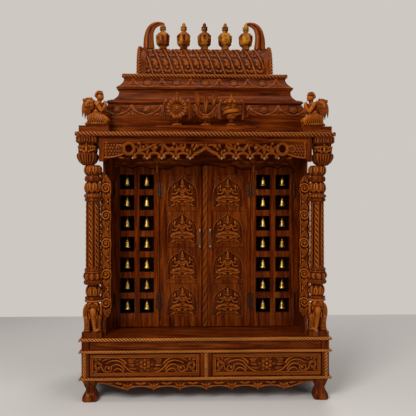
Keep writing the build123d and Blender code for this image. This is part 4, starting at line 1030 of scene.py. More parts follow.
def pillarShape(level, angle, radius):
    # each member of the shaft carries its own carving, repeated in equal sectors round it
    out = 0 * level * angle
    petals = pillarLook["petals"]
    # lower vase: leaves that stand up round it, with smaller ones between
    v, on = within(level, 1)
    u = sectorAcross(angle, petals, 30)
    rise = (np.maximum(leaf(u, v + 0 * u, 0, 2, 54, 24, pi / 2) * 7,
                       leaf(sectorAcross(angle, petals, 30, 0.5), v + 0 * u, 0, 2, 40, 18, pi / 2) * 5) - 2)
    out = np.where(on, rise, out)
    # lower cushion: rosettes on a belt between bars
    v, on = within(level, 4)
    u = sectorAcross(angle, 10, 44)
    rise = (np.maximum(5.5 * dome(u, v, 0, 24, 12, 15) - 3 * swell(np.hypot(u, v - 24) - 6, 2),
                       2.4 * (np.abs(v - 24) > 18)) - 2.4)
    out = np.where(on, rise, out)
    # shaft: hollow flutes, and every second one holds a string of beads
    v, on = within(level, 6)
    u = sectorAcross(angle, pillarLook["flutes"], 1.0)
    width = 2 * pi / pillarLook["flutes"]
    ends = fade(v, 14) * fade(shaftHeight - v, 14)
    flute = -4.2 * np.clip(1 - (u / (0.42 * width)) ** 2, 0, None) * ends
    second = np.floor(angle * pillarLook["flutes"] / (2 * pi)) % 2 == 0
    beadAlong = (v / pillarLook["bead"] + u / width) % 1 - 0.5
    bead = 6.4 * np.sqrt(np.clip(1 - (beadAlong / 0.38) ** 2 - (u / (0.40 * width)) ** 2, 0, None)) * ends
    out = np.where(on, flute + np.where(second, bead, 0), out)
    # collar and upper vase: fans of drooping leaves
    v, on = within(level, 8)
    rise = 2.2 * np.abs(np.sin(angle * 9)) ** 0.6 * np.sin(pi * fade(v, 24))
    out = np.where(on, rise, out)
    v, on = within(level, 9)
    u = sectorAcross(angle, petals, 32)
    w = sectorAcross(angle, petals, 32, 0.5)
    rise = (np.maximum(7.5 * leaf(u, 56 - v + 0 * u, 0, 0, 48, 26, pi / 2),
                       5.5 * leaf(w, v + 0 * u, 0, 2, 44, 20, pi / 2)) - 2.4)
    out = np.where(on, rise, out)
    # neck rings, then a cushion of leaves that fold over
    v, on = within(level, 11)
    u = sectorAcross(angle, petals, 38)
    w = sectorAcross(angle, petals, 38, 0.5)
    rise = (np.maximum(7.5 * leaf(u, 52 - v + 0 * u, 0, 0, 46, 27, pi / 2, 0.55),
                       5 * leaf(w, 52 - v + 0 * u, 0, 0, 40, 20, pi / 2)) - 2.4)
    out = np.where(on, rise, out)
    return out


parts = []
for sign in (-1, 1):
    parts.append(turnedPart((sign * pillarX, pillarY, pillarLow[2]), pillarMembers, pillarLook["sides"],
                            pillarLook["row"], pillarShape))
makePiece("carvedPillars", parts, teakCarved, "root", ("pillars",))

# Capitals: a fluted roll, a band of scrolls round a mask of leaves, and a gadrooned pot below it
capitalLow, capitalHigh = cadSpan("capitals")
capitalLook = {"tall": capitalHigh[2] - capitalLow[2], "half": 52, "sides": 144, "rows": 56}
capitalX, capitalY = capitalHigh[0] - capitalLook["half"], (capitalLow[1] + capitalHigh[1]) / 2


def capitalPart(sign):
    # a rounded square whose half width follows the moulding, with the carving of each band added to it
    look = capitalLook
    level = np.linspace(0, 1, look["rows"])[:, None]
    angle = anglesRound(look["sides"])
    share = np.interp(level, [0, 0.03, 0.10, 0.25, 0.36, 0.42, 0.50, 0.72, 0.775, 0.785, 0.83, 0.9, 0.96, 1],
                      [0.44, 0.52, 0.70, 0.88, 0.90, 0.80, 0.72, 0.78, 0.80, 0.93, 1.0, 0.97, 1.0, 0.96])
    square = 1 / (np.abs(np.cos(angle)) ** 7 + np.abs(np.sin(angle)) ** 7) ** (1 / 7)
    r = look["half"] * share * square
    u = sectorAcross(angle, 4, 60, 0.5)
    v = level * look["tall"]
    m = np.abs(u)
    out = np.where(v < 56, 4.5 * (np.abs(np.sin(angle * 12)) ** 0.8 - 0.6) * np.sin(pi * fade(v,
        56)) ** 0.5, 0)
    mask = 11 * dome(m, v, 0, 76, 10, 17) + 3 * dome(m, v, 0, 66, 17, 9)
    mask = highest(mask, 9 * dome(m, v, 17, 86, 11, 9) - 6 * swell(np.hypot(m - 17, v - 85), 4.5),
                   9 * stroke(m + 0 * v, v + 0 * m, scroll(36, 76, 13, 3, 0.6, 1.3), 4.2, 3.0),
                   8 * leaf(m, v + 0 * m, 6, 60, 38, 15, 0.4), 8 * leaf(u, v + 0 * u, 0, 86, 20, 18, pi / 2))
    out = np.where((v > 57) & (v < 104), mask - 3, out)
    out = np.where(v > 106, 4.4 * (np.abs(np.sin(angle * 14)) - 0.8) * np.sin(pi * fade(v - 106,
        28)) ** 0.5, out)
    r = np.minimum(r + out, look["half"] * square)
    points = pointsOf(sign * capitalX + r * np.cos(angle), capitalY + r * np.sin(angle), capitalLow[2] + v)
    return ringPart(points, wearAndShadeOf(out - out.min(), 9.0, 3))


makePiece("carvedCapitals", [capitalPart(-1), capitalPart(1)], teakCarved, "root", ("capitals",))

# Feet: a gadrooned block on a waist, and a lion's paw that spreads outwards
feetLow, feetHigh = cadSpan("feet")
footLook = {"half": 38, "rows": 44, "sides": 64, "spread": 7}


def footPart(x, y, signX, signY):
    # a rounded square that narrows to a waist, with toes where it faces the corner it stands on
    look = footLook
    tall = feetHigh[2]
    v = np.linspace(0, tall, look["rows"])[:, None]
    angle = anglesRound(look["sides"])
    half = np.interp(v, [0, 3, 14, 34, 50, 60, 66, 72, 84, 94, 96, tall],
                     [33, 36, 37, 31, 24, 23, 26, 29, 33, 36, 38, 38])
    square = 1 / (np.abs(np.cos(angle)) ** 5 + np.abs(np.sin(angle)) ** 5) ** 0.2
    towards = np.arctan2(signY, signX)
    turn = (angle - towards + pi) % (2 * pi) - pi
    toes = np.exp(-((turn / 1.5) ** 4)) * fade(40 - v, 22)
    out = (7.5 * np.abs(np.sin(turn * 2.6)) ** 0.7 - 3) * toes
    out = out - 2.4 * np.abs(np.cos(angle * 10)) ** 4 * ((v > 66) & (v < 94)) * np.sin(pi * fade(v - 66, 28))
    out = out - 1.6 * np.abs(np.cos(angle * 8)) ** 4 * ((v > 32) & (v < 58))
    lean = look["spread"] * fade(40 - v, 40) * 0.35
    r = np.minimum((half + out) * square, 44)
    points = pointsOf(x + signX * lean + r * np.cos(angle), y + signY * lean + r * np.sin(angle), v)
    reach = footLook["half"]
    shade = wearAndShadeOf(out - out.min(), 7.0, 2)
    points[..., 0] = np.clip(points[..., 0], x - reach, x + reach)
    points[..., 1] = np.clip(points[..., 1], y - reach, y + reach)
    return ringPart(points, shade)


footX = feetHigh[0] - footLook["half"]
footEnds = ((feetLow[1] + footLook["half"], -1), (feetHigh[1] - footLook["half"], 1))
makePiece("carvedFeet", [footPart(sx * footX, y, sx, sy) for sx in (-1, 1) for y, sy in footEnds],
          teakCarved, "root", ("feet",))
print("turned work done")

# Aprons: scalloped boards with a running vine, and a leaf that hangs from each cusp
apronLow, apronHigh = cadSpan("aprons")
apronLook = {"thick": 18, "pitch": 126, "frontCusps": 7, "sideCusps": 3, "relief": 4.5, "grid": 2.7,
             "rows": 22, "foot": 76.3}


def apronEdge(along, half, cusps):
    # the lower edge: arcs between the cusps, then a long sweep up to the foot
    look = apronLook
    last = (cusps - 1) / 2 * look["pitch"]
    phase = (along + last) / look["pitch"] % 1
    arcs = apronLow[2] + 2 + 13 * np.sin(pi * phase) ** 0.8
    beyond = fade(np.abs(along) - last, half - last)
    sweep = apronLow[2] + 2 + 30 * (beyond * beyond * (3 - 2 * beyond)) + 3 * np.sin(pi * beyond)
    return np.where(np.abs(along) < last, arcs, sweep)


def apronFace(half, cusps):
    # a bead along each edge, with a fan of leaves over each cusp and a wave of leaves past the last one
    look = apronLook
    a = np.linspace(-half, half, int(2 * half / look["grid"]))
    edge = apronEdge(a, half, cusps)
    share = np.linspace(0, 1, look["rows"])
    level = edge[:, None] + (apronHigh[2] - edge)[:, None] * share
    u = a[:, None] + 0 * level
    above = level - edge[:, None]
    below = apronHigh[2] - level
    m = np.abs(u)
    beat = (m + look["pitch"] / 2) % look["pitch"] - look["pitch"] / 2
    rise = 0.9 * look["relief"] * roundBack(above - 4, 3.5)
    rise = np.maximum(rise, 0.7 * look["relief"] * roundBack(below - 2, 2))
    n = np.abs(beat)
    v = level - 82
    fan = highest(leaf(n, v, 4, -10, 26, 12, 0.75), leaf(n, v, 12, -14, 30, 12, 0.35),
                  leaf(n, v, 0, -18, 26, 13, pi / 2), leaf(63 - n, v, 2, 4, 26, 11, 0.25),
                  0.9 * dome(63 - n, v, 0, 4, 6, 6))
    far = fade(m - (cusps - 1) / 2 * look["pitch"] - 20, 10)
    wave = leaf((m + 200) % 46, v - 6, 4, -2, 36, 12, 0.12)
    rise = np.maximum(rise, look["relief"] * np.where(far > 0.5, 0.8 * wave, fan))
    rise = rise * fade(above, 2) * fade(below, 1.5)
    return a, level, rise


def apronBoard(half, cusps, turnSign, face, middle):
    # the carved board at the front, or turned to the side that turnSign names
    a, level, rise = apronFace(half, cusps)
    wide = a[:, None] + 0 * level
    tone = wearAndShadeOf(rise, apronLook["relief"], 3)
    if turnSign == 0:
        return boardPart(pointsOf(wide, face + 4 - rise, level), 1, face + apronLook["thick"], tone)
    front = pointsOf(turnSign * (face - 4 + rise), middle + wide, level)
    return boardPart(front, 0, turnSign * (face - apronLook["thick"]), tone)


frontHalf = feetHigh[0] - apronLook["foot"]
sideHalf = (feetHigh[1] - feetLow[1]) / 2 - apronLook["foot"]
sideMiddle = (feetHigh[1] + feetLow[1]) / 2
parts = [apronBoard(frontHalf, apronLook["frontCusps"], 0, apronLow[1], 0)]
for sign in (-1, 1):
    parts.append(apronBoard(sideHalf, apronLook["sideCusps"], sign, apronHigh[0], sideMiddle))
for k in range(apronLook["frontCusps"]):
    x = (k - (apronLook["frontCusps"] - 1) / 2) * apronLook["pitch"]
    parts.append(leafPart((x, apronLow[1] + 2, apronLow[2] + 16), 22, 15, -pi / 2, 4, 2))
parts.append(boxPart((-frontHalf, apronHigh[1] - apronLook["thick"], apronHigh[2] - 24),
                     (frontHalf, apronHigh[1], apronHigh[2])))
makePiece("carvedAprons", parts, teakCarvedAcross, "root", ("aprons",))

# Porch sides: plain walls, each with a bracket board at its front edge that is carved with spiral roundels
porchLow, porchHigh = cadSpan("porch_sides")
porchLook = {"outer": 514, "narrow": 50, "lobe": 4, "foot": 70, "head": 166,
             "rise": (158, 300, 451, 588, 721), "centre": 27, "relief": 9.0, "grid": 2.0, "thick": 13,
             "wall": 11.5, "wallBack": 5.3}


def porchHeight(a, v, wide):
    # a: distance in from the outer edge, v: height over the deck, wide: how far the board reaches inwards
    look = porchLook
    rise = 0.75 * look["relief"] * roundBack(wide - a - 4, 4) * (0.8 + 0.2 * np.cos(v * 0.62))
    for level in look["rise"]:
        w = np.where(np.abs(v - level) < 80, v - level, 300)
        c = look["centre"]
        rise = highest(rise, look["relief"] * stroke(a, w, scroll(c, 0, 24, 6, 0.4, 1.7), 5.2, 3.8),
                       look["relief"] * 1.1 * dome(a, w, c, 0, 7, 7))
        for way in (-1, 1):
            for ca, cw, tilt, length, broad in ((c - 16, 24, 1.2, 44, 15), (c + 14, 24, 1.9, 44, 15),
                    (c, 30, 1.57, 44, 13), (c - 22, 18, 2.2, 26, 10), (c + 20, 12, 0.9, 26, 11),
                    (c + 20, 44, 1.2, 26, 11), (c - 20, 46, 1.9, 26, 11)):
                rise = np.maximum(rise, 0.9 * look["relief"] * leaf(a, way * w, ca, cw, length, broad, tilt))
            rise = np.maximum(rise, look["relief"] * dome(a, way * w, c + 8, 66, 6, 8))
    return rise


tall = porchHigh[2] - porchLow[2]
carvedTall = tall - porchLook["foot"] - porchLook["head"]
v = np.linspace(porchLook["foot"], tall - porchLook["head"], int(carvedTall / porchLook["grid"]))
nearest = np.min(np.abs(v[:, None] - np.array(porchLook["rise"])[None, :]), axis=1)
wide = porchLook["narrow"] + porchLook["lobe"] * swell(nearest, 26)
endShare = np.minimum(v - v[0], v[-1] - v) / 46
wide = wide * np.sqrt(np.clip(endShare, 0.02, 1))
share = np.linspace(0, 1, 30)[None, :]
a = wide[:, None] * share
vv = v[:, None] + 0 * a
rise = porchHeight(a, vv, wide[:, None]) * fade(1 - share, 0.05)
tone = wearAndShadeOf(rise, porchLook["relief"], 3)
parts = []
for sign in (-1, 1):
    front = pointsOf(sign * (porchLook["outer"] - a), porchLow[1] + 6 - rise, porchLow[2] + vv)
    parts.append(boardPart(front, 1, porchLow[1] + 6 + porchLook["thick"], tone))
makePiece("carvedPorchBrackets", parts, teakCarved, "root", ("porch_sides",))
wallInner = porchHigh[0] - porchLook["wall"]
parts = [boxPart((x, porchLow[1] + porchLook["wallBack"], porchLow[2]),
                 (x + porchLook["wall"], porchHigh[1], porchHigh[2])) for x in (wallInner, -porchHigh[0])]
makePiece("porchWalls", parts, teakUp, "root", ())
print("porch done")

# Frieze: C-scroll arches on a pierced ground of stems, buds and leaves, with brackets at the ends
friezeLow, friezeHigh = cadSpan("frieze")
friezeLook = {"first": 76, "pitch": 69, "arches": 4, "bar": 6.5, "railTall": 12, "bracket": 386}
friezeY = (friezeLow[1] + friezeHigh[1]) / 2
foot = friezeLow[2] + 14
parts = [boxPart((-friezeHigh[0], friezeY - 6, friezeHigh[2] - friezeLook["railTall"]),
                 (friezeHigh[0], friezeY + 6, friezeHigh[2]))]
glintDrops = []


def friezeHalf(sign):
    # the parts of one half, which is mirrored for the other
    look = friezeLook
    made = []
    bar = look["bar"]

    def sweep(points, thick, thin, dy=0.0):
        # a bar along a smooth curve that thins from thick to thin
        line = bezier(points, 22)
        path = pointsOf(sign * line[:, 0], friezeY + dy, line[:, 1])
        made.append(tubePart(path, np.linspace(thick, thin, 22) * 0.9, np.linspace(thick, thin, 22),
                             sides=9, up=(0, 1, 0), relief=0.72))

    def ball(x, z, r, dy=0.0):
        # a bud, a little flatter from front to back
        made.append(ballPart((sign * x, friezeY + dy, z), (r, r * 0.85, r)))

    def frond(x, z, length, width, tilt, lift=6, bend=0.0):
        # a leaf that stands up from the frieze towards the front
        tilt = tilt if sign > 0 else pi - tilt
        made.append(leafPart((sign * x, friezeY + 1, z), length, width, tilt, lift, 4, bend * sign, rows=8))

    for k in range(look["arches"]):
        left = look["first"] + k * look["pitch"]
        right = left + look["pitch"]
        sweep([(left + 9, foot - 1), (left + 6, foot + 24), (right - 6, foot + 24), (right - 9, foot - 1)],
              bar, bar)
        sweep([(left + 14, foot + 8), (left + 18, foot + 25), (right - 18, foot + 25),
               (right - 14, foot + 8)], 3, 3, -4.5)
        ball(left + 11, foot - 2, 8.5, -2)
        ball(right - 11, foot - 2, 8.5, -2)
        frond(left, foot + 6, 34, 14, pi / 2)
        glintDrops.append(ballPart((sign * left, friezeY, friezeLow[2] + 6), (5, 5, 6)))
        # leaves that climb from the arch to the rail
        middle = (left + right) / 2
        frond(middle - 6, foot + 22, 46, 15, 0.9, 7, -0.5)
        frond(middle + 8, foot + 22, 40, 13, 2.1, 6, 0.6)
        frond(middle + 26, foot + 24, 44, 13, 1.35, 6, 0.3)
    glintDrops.append(ballPart((sign * (look["first"] + look["arches"] * look["pitch"]), friezeY,
                                 friezeLow[2] + 8), (5, 5, 6)))
    sweep([(look["first"] - 8, foot - 2), (62, foot + 10), (34, foot + 18), (18, foot + 30),
           (0, foot + 42)], bar, bar)
    sweep([(58, foot + 16), (36, foot + 24), (16, foot + 38), (0, foot + 50)], 3.4, 3.4, -4)
    ball(look["first"] - 10, foot - 2, 8.5, -2)
    # long stems that run behind the arches, with buds
    sweep([(330, foot + 26), (280, foot + 30), (262, foot + 62), (220, foot + 66)], 7, 4)
    sweep([(205, foot + 62), (180, foot + 22), (150, foot + 34), (118, foot + 40)], 7, 5)
    sweep([(118, foot + 40), (98, foot + 46), (92, foot + 62), (112, foot + 68)], 5, 4)
    sweep([(60, foot + 30), (48, foot + 56), (24, foot + 64), (10, foot + 52)], 6, 4)
    for x, z, r in ((243, foot + 44, 11), (154, foot + 62, 9), (161, foot + 41, 9), (44, foot + 51, 10),
                    (322, foot + 64, 8), (300, foot + 46, 8), (90, foot + 30, 8)):
        ball(x, z, r, -3)
    for x, z, length, width, tilt in ((20, foot + 52, 26, 12, 1.2), (70, foot + 40, 40, 14, 1.9),
            (100, foot + 34, 34, 13, 0.6), (130, foot + 50, 32, 12, 2.6), (190, foot + 34, 34, 13, 1.1),
            (230, foot + 52, 30, 12, 2.7), (280, foot + 44, 32, 12, 1.0), (318, foot + 30, 38, 14, 1.7),
            (345, foot + 34, 40, 14, 1.25), (0, foot + 48, 28, 16, 1.57)):
        frond(x, z, length, width, tilt)
    # bracket: a beast with a curled trunk round the opening, and scales of leaves behind it
    hole = (371, friezeLow[2] + 53)
    ring = np.linspace(0, 2 * pi, 40)
    path = pointsOf(sign * (hole[0] + 25 * np.cos(ring)), friezeY, hole[1] + 27 * np.sin(ring))
    made.append(tubePart(path, np.full(40, 7.0), np.full(40, 9.0), sides=10, up=(0, 1, 0), relief=0.7))
    a = np.linspace(look["bracket"], friezeHigh[0], 52)
    lower = np.interp(a, [386, 400, 430, 470, 490], [foot + 18, foot + 6, foot - 4, foot - 12, foot - 13])
    upper = np.interp(a, [386, 396, 410, 440, 490],
                      [foot + 56, foot + 64, foot + 72, friezeHigh[2], friezeHigh[2]])
    share = np.linspace(0, 1, 44)
    level = lower[:, None] + (upper - lower)[:, None] * share
    u = a[:, None] + 0 * level
    rise = np.zeros_like(u)
    for row in range(6):
        for col in range(7):
            cu, cv = 404 + col * 14 + 7 * (row % 2), foot - 6 + row * 14
            rise = np.maximum(rise, 4.5 * leaf(u, level, cu, cv, 19, 12, 2.4))
    trunk = bezier([(392, foot + 40), (408, foot + 66), (436, foot + 60), (440, foot + 30), (420, foot + 24)])
    belly = bezier([(394, foot + 12), (430, foot), (470, foot - 6), (486, foot - 4)])
    spine = bezier([(480, foot), (482, foot + 40), (478, foot + 70)])
    rise = highest(rise, 7 * stroke(u, level, trunk, 7, 4), 7 * dome(u, level, 410, foot + 50, 6, 6),
                   6 * stroke(u, level, belly, 5, 4), 5 * stroke(u, level, spine, 5, 5))
    edge = np.minimum(share, 1 - share) * 44 / 2
    rise = rise * np.clip(edge, 0, 1)
    front = pointsOf(sign * u, friezeY - 2 - rise, level)
    made.append(boardPart(front, 1, friezeHigh[1], wearAndShadeOf(rise, 7, 3)))
    for x, z, length, width, tilt in ((396, foot + 20, 34, 15, -2.6), (420, foot - 2, 34, 13, -2.9),
            (360, foot + 22, 30, 12, -2.2), (350, foot + 40, 30, 12, 2.6)):
        frond(x, z, length, width, tilt, 8)
    return made


parts += friezeHalf(-1) + friezeHalf(1)
makePiece("carvedFrieze", parts, teakCarvedAcross, "root", ("frieze",))
# the drops' pale colour is a painted glint
makePiece("friezeGlintDrops", glintDrops, glintDrop, "root")

# Header: sprays of leaves over the doors, and a flower over each turn button
headerLow = cadSpan("header")[0]
parts = []
for sign in (-1, 1):
    for x, z, length, width, tilt in ((250, 1176, 24, 13, 0.4), (250, 1176, 24, 13, 1.2),
            (250, 1176, 24, 13, 2.0), (250, 1176, 24, 13, 2.8), (262, 1170, 54, 15, 0.10),
            (238, 1170, 54, 15, 3.04), (300, 1178, 46, 13, 0.5), (200, 1178, 46, 13, 2.6),
            (316, 1172, 60, 14, -0.15), (184, 1172, 50, 14, 3.3), (60, 1192, 50, 14, 0.4),
            (30, 1200, 40, 13, 0.9), (110, 1186, 50, 13, 0.0), (390, 1180, 44, 14, 0.5),
            (400, 1168, 44, 12, -0.2)):
        parts.append(leafPart((sign * x, headerLow[1] + 1, z), length, width,
                              tilt if sign > 0 else pi - tilt, 3.4, 2, rows=7))
    parts.append(ballPart((sign * 250, headerLow[1], 1176), (9, 5, 9)))
makePiece("headerCarving", parts, teakCarvedAcross, "root")

# Turn buttons: a small carved leaf with a curled foot
for hand in ("left", "right"):
    low, high = cadSpan("turn_button_" + hand)
    x, y = (low[0] + high[0]) / 2, (low[1] + high[1]) / 2
    half = (high[1] - low[1]) / 2
    pivot = high[2] - 10
    line = np.array([(x, pivot + 9), (x - 1, pivot - 6), (x + 2, pivot - 18), (x, pivot - 27),
                     (x - 4, low[2] + 3)])
    path = bezier(line, 26)
    path = pointsOf(path[:, 0], y, path[:, 1])
    wide = np.interp(np.linspace(0, 1, 26), [0, 0.12, 0.5, 0.8, 1], [4, 9, 7.5, 9, 4])
    parts = [tubePart(path, np.full(26, half), wide, sides=16, up=(0, 1, 0),
                      shape=lambda d, a: creased(np.abs(np.cos(1.5 * a)) ** 6, 0.12, 0.75, 0.3)),
             ballPart((x, low[1] + 2.5, pivot), (5, 2.5, 5))]
    makePiece("carvedButton" + hand.capitalize(), parts, teakCarved, "button_" + hand,
              ("turn_button_" + hand,))

# Bells: turned brass with a flared lip, hung on dark loops
bellLow, bellHigh = cadSpan("bells")
bellLook = {"columns": (303.5, 404.5), "rows": 7, "pitch": 107.5, "top": 1106, "drop": 18, "tall": 38}
bellMembers = ((3, 15.2, 15.6, 14.6), (8, 13.6, 11.6, 10.8), (16, 10.8, 9.8, 8.8), (6, 8.8, 7.6, 4.2),
               (3, 4.2, 5.2, 4.2), (4, 3.4, 4.4, 1.6))
bellY = (bellLow[1] + bellHigh[1]) / 2
parts, hangers = [], []
for row in range(bellLook["rows"]):
    for sx in (-1, 1):
        for column in bellLook["columns"]:
            top = bellLook["top"] - row * bellLook["pitch"]
            base = top - bellLook["drop"] - bellLook["tall"]
            parts.append(turnedPart((sx * column, bellY, base), bellMembers, 20, 2.4))
            parts.append(ballPart((sx * column, bellY, base + 1), (3.2, 3.2, 4), 8, 5))
            ring = np.linspace(0, 2 * pi, 14)
            loop = pointsOf(sx * column + 4 * np.cos(ring), bellY,
                            base + bellLook["tall"] + 3 + 5 * np.sin(ring))
            hangers.append(tubePart(loop, 1.1, sides=6, up=(0, 1, 0)))
            rod = pointsOf(sx * column, bellY, np.linspace(base + bellLook["tall"] + 6, top + 1, 4))
            hangers.append(tubePart(rod, 1.5, sides=6, up=(0, 1, 0)))
            hangers.append(ballPart((sx * column, bellY, top - 5), (4, 4, 4), 8, 5))
makePiece("turnedBells", parts, bellBrass, "root", ("bells",))
makePiece("bellHangers", hangers, darkBrass, "root", ())

# The bead where the leaves meet is cut as a rope
beadLow = cadSpan("door_frame_right")[0]
beadLook = {"half": 13.5, "reach": 8.5, "spacing": 46, "top": 1150}


def meetingShape(distance, angle):
    # |sin| of distance and angle together, its root taken so that the cut between strands is narrow
    wave = np.abs(np.sin(pi * distance / beadLook["spacing"] + 1.5 * angle)) ** 0.5
    # the tone is painted shade in the cuts between strands, and rubbed wear with painted highlight on their
    # backs
    return 1 - 0.10 * (1 - wave), 0.35 + 0.35 * wave


path = pointsOf(0.0, beadLow[1] + 6, np.linspace(beadLow[2] + 1, beadLook["top"], 150))
makePiece("meetingRope", [tubePart(path, beadLook["reach"] - 2.2, beadLook["half"], sides=16, up=(0, 1, 0),
                                   shape=meetingShape)], teakCarved, "door_right")

# Handles: a bow between two balls on each leaf, rubbed bright over the cast ones
handleLook = {"inset": 6.5, "below": 67.5, "tall": 94, "bar": 4.0, "ball": 7.0}
for hand, sign in (("left", -1), ("right", 1)):
    low, high = cadSpan("door_fittings_" + hand)
    inner = high[0] if sign < 0 else low[0]
    handleX = inner + sign * handleLook["inset"]
    lowEnd = (deckHigh[2] + canopyLow[2]) / 2 - handleLook["below"]
    path = pointsOf(handleX, low[1] + 4.0, np.linspace(lowEnd + 6, lowEnd + handleLook["tall"], 20))
    made = [tubePart(path, handleLook["bar"], sides=12, up=(0, 1, 0))]
    for z in (lowEnd + 6.5, lowEnd + 93.5):
        made.append(ballPart((handleX, low[1] + 6.8, z), handleLook["ball"], 14, 9))
    makePiece("doorHandle" + hand.capitalize(), made, paleBrass, "door_" + hand, ())
print("frieze, bells and trim done")

# Figures: rounded masses joined into one skin, then finished with carved parts

def rodPart(points, radii, sides=12, count=14):
    # a limb through points with a radius at each, and a ball at each end
    line = bezier(points, count)
    sizes = np.interp(np.linspace(0, 1, count), np.linspace(0, 1, len(radii)), radii)
    return [tubePart(line, sizes, sides=sides, up=(0.03, 1.0, 0.02)), ballPart(line[0], sizes[0] * 0.98),
            ballPart(line[-1], sizes[-1] * 0.98)]


def skinPart(name, parts, voxelMm, smoothing):
    # one closed skin round all the parts, smoothed, lighter where it bulges as wear and painted highlight,
    # and darker in its creases as painted shade
    scratch = makePiece(name, parts, teakCarved, None)
    remesh = scratch.modifiers.new("skin", "REMESH")
    remesh.mode = "VOXEL"
    remesh.voxel_size = voxelMm * mm
    smooth = scratch.modifiers.new("soft", "SMOOTH")
    smooth.factor = 0.5
    smooth.iterations = smoothing
    ready = scratch.evaluated_get(bpy.context.evaluated_depsgraph_get())
    mesh = bpy.data.meshes.new_from_object(ready)
    verts = np.empty(len(mesh.vertices) * 3, np.float32)
    mesh.vertices.foreach_get("co", verts)
    verts = verts.reshape(-1, 3) / mm
    sizes = np.empty(len(mesh.polygons), np.int32)
    mesh.polygons.foreach_get("loop_total", sizes)
    corners = np.empty(len(mesh.loops), np.int32)
    mesh.loops.foreach_get("vertex_index", corners)
    starts = np.concatenate([[0], np.cumsum(sizes)[:-1]])
    quads = corners[starts[sizes == 4][:, None] + np.arange(4)]
    tris = corners[starts[sizes == 3][:, None] + np.arange(3)]
    edges = np.empty(len(mesh.edges) * 2, np.int32)
    mesh.edges.foreach_get("vertices", edges)
    a, b = edges.reshape(-1, 2).T
    total = np.zeros_like(verts)
    count = np.zeros(len(verts))
    for one, two in ((a, b), (b, a)):
        np.add.at(total, one, verts[two])
        np.add.at(count, one, 1)
    normals = np.empty(len(mesh.vertices) * 3, np.float32)
    mesh.vertices.foreach_get("normal", normals)
    bend = ((total / count[:, None] - verts) * normals.reshape(-1, 3)).sum(1)
    for repeat in range(3):
        soft = np.zeros(len(verts))
        np.add.at(soft, a, bend[b])
        np.add.at(soft, b, bend[a])
        bend = 0.5 * bend + 0.5 * soft / count
    tone = np.clip(0.56 - bend / (0.10 * voxelMm), 0, 1)
    old = scratch.data
    bpy.data.objects.remove(scratch)
    bpy.data.meshes.remove(old)
    bpy.data.meshes.remove(mesh)
    return partOf(verts, quads, tris, tone)


# Elephants: each stands square under its pillar with its head turned inwards and its trunk curled at the foot
elephantLook = {"voxel": 2.8, "soft": 2}
tall = elephantHigh[2] - elephantLow[2]
base = [ballPart((0, 8, 92), (44, 38, 50), 24, 14), ballPart((-4, -10, 84), (38, 30, 38), 24, 14)]
for x, y in ((-24, 28), (24, 28), (-26, -22), (25, -16)):
    base += rodPart([(x, y, 70), (x, y, 34), (x * 1.04, y, 8)], (19, 15, 15.5))
    base += [ballPart((x * 1.06, y - 2, 6), (16.5, 16, 6.5))]
base += [ballPart((4, -28, 112), (30, 22, 32), 24, 14), ballPart((-9, -36, 132), (14, 12, 14)),
         ballPart((16, -36, 132), (14, 12, 14)), ballPart((-30, -28, 98), (17, 7, 40), 18, 12, tilt=0.1),
         ballPart((38, -14, 104), (8, 15, 34), 18, 12), ballPart((-33, -30, 70), (9, 6, 18), 12, 8)]
base += rodPart([(6, -44, 106), (12, -62, 84), (10, -50, 50), (14, -50, 24)], (17, 12.5, 9.5, 8), 14, 20)
base += rodPart([(14, -50, 26), (15, -51, 8), (24, -53, 6), (32, -50, 18)], (8, 7.5, 6.5, 5), 12, 14)
for x in (-12, 24):
    base += rodPart([(x, -44, 94), (x + 2, -54, 82), (x + 3, -56, 68)], (5, 3.6, 2), 8)
base += [turnedPart((0, 0, tall - 13), ((5, 34, 40, 42), (8, 42, 43, 38)), 36, 2)]
skin = skinPart("elephantForm", base, elephantLook["voxel"], elephantLook["soft"])
parts = []
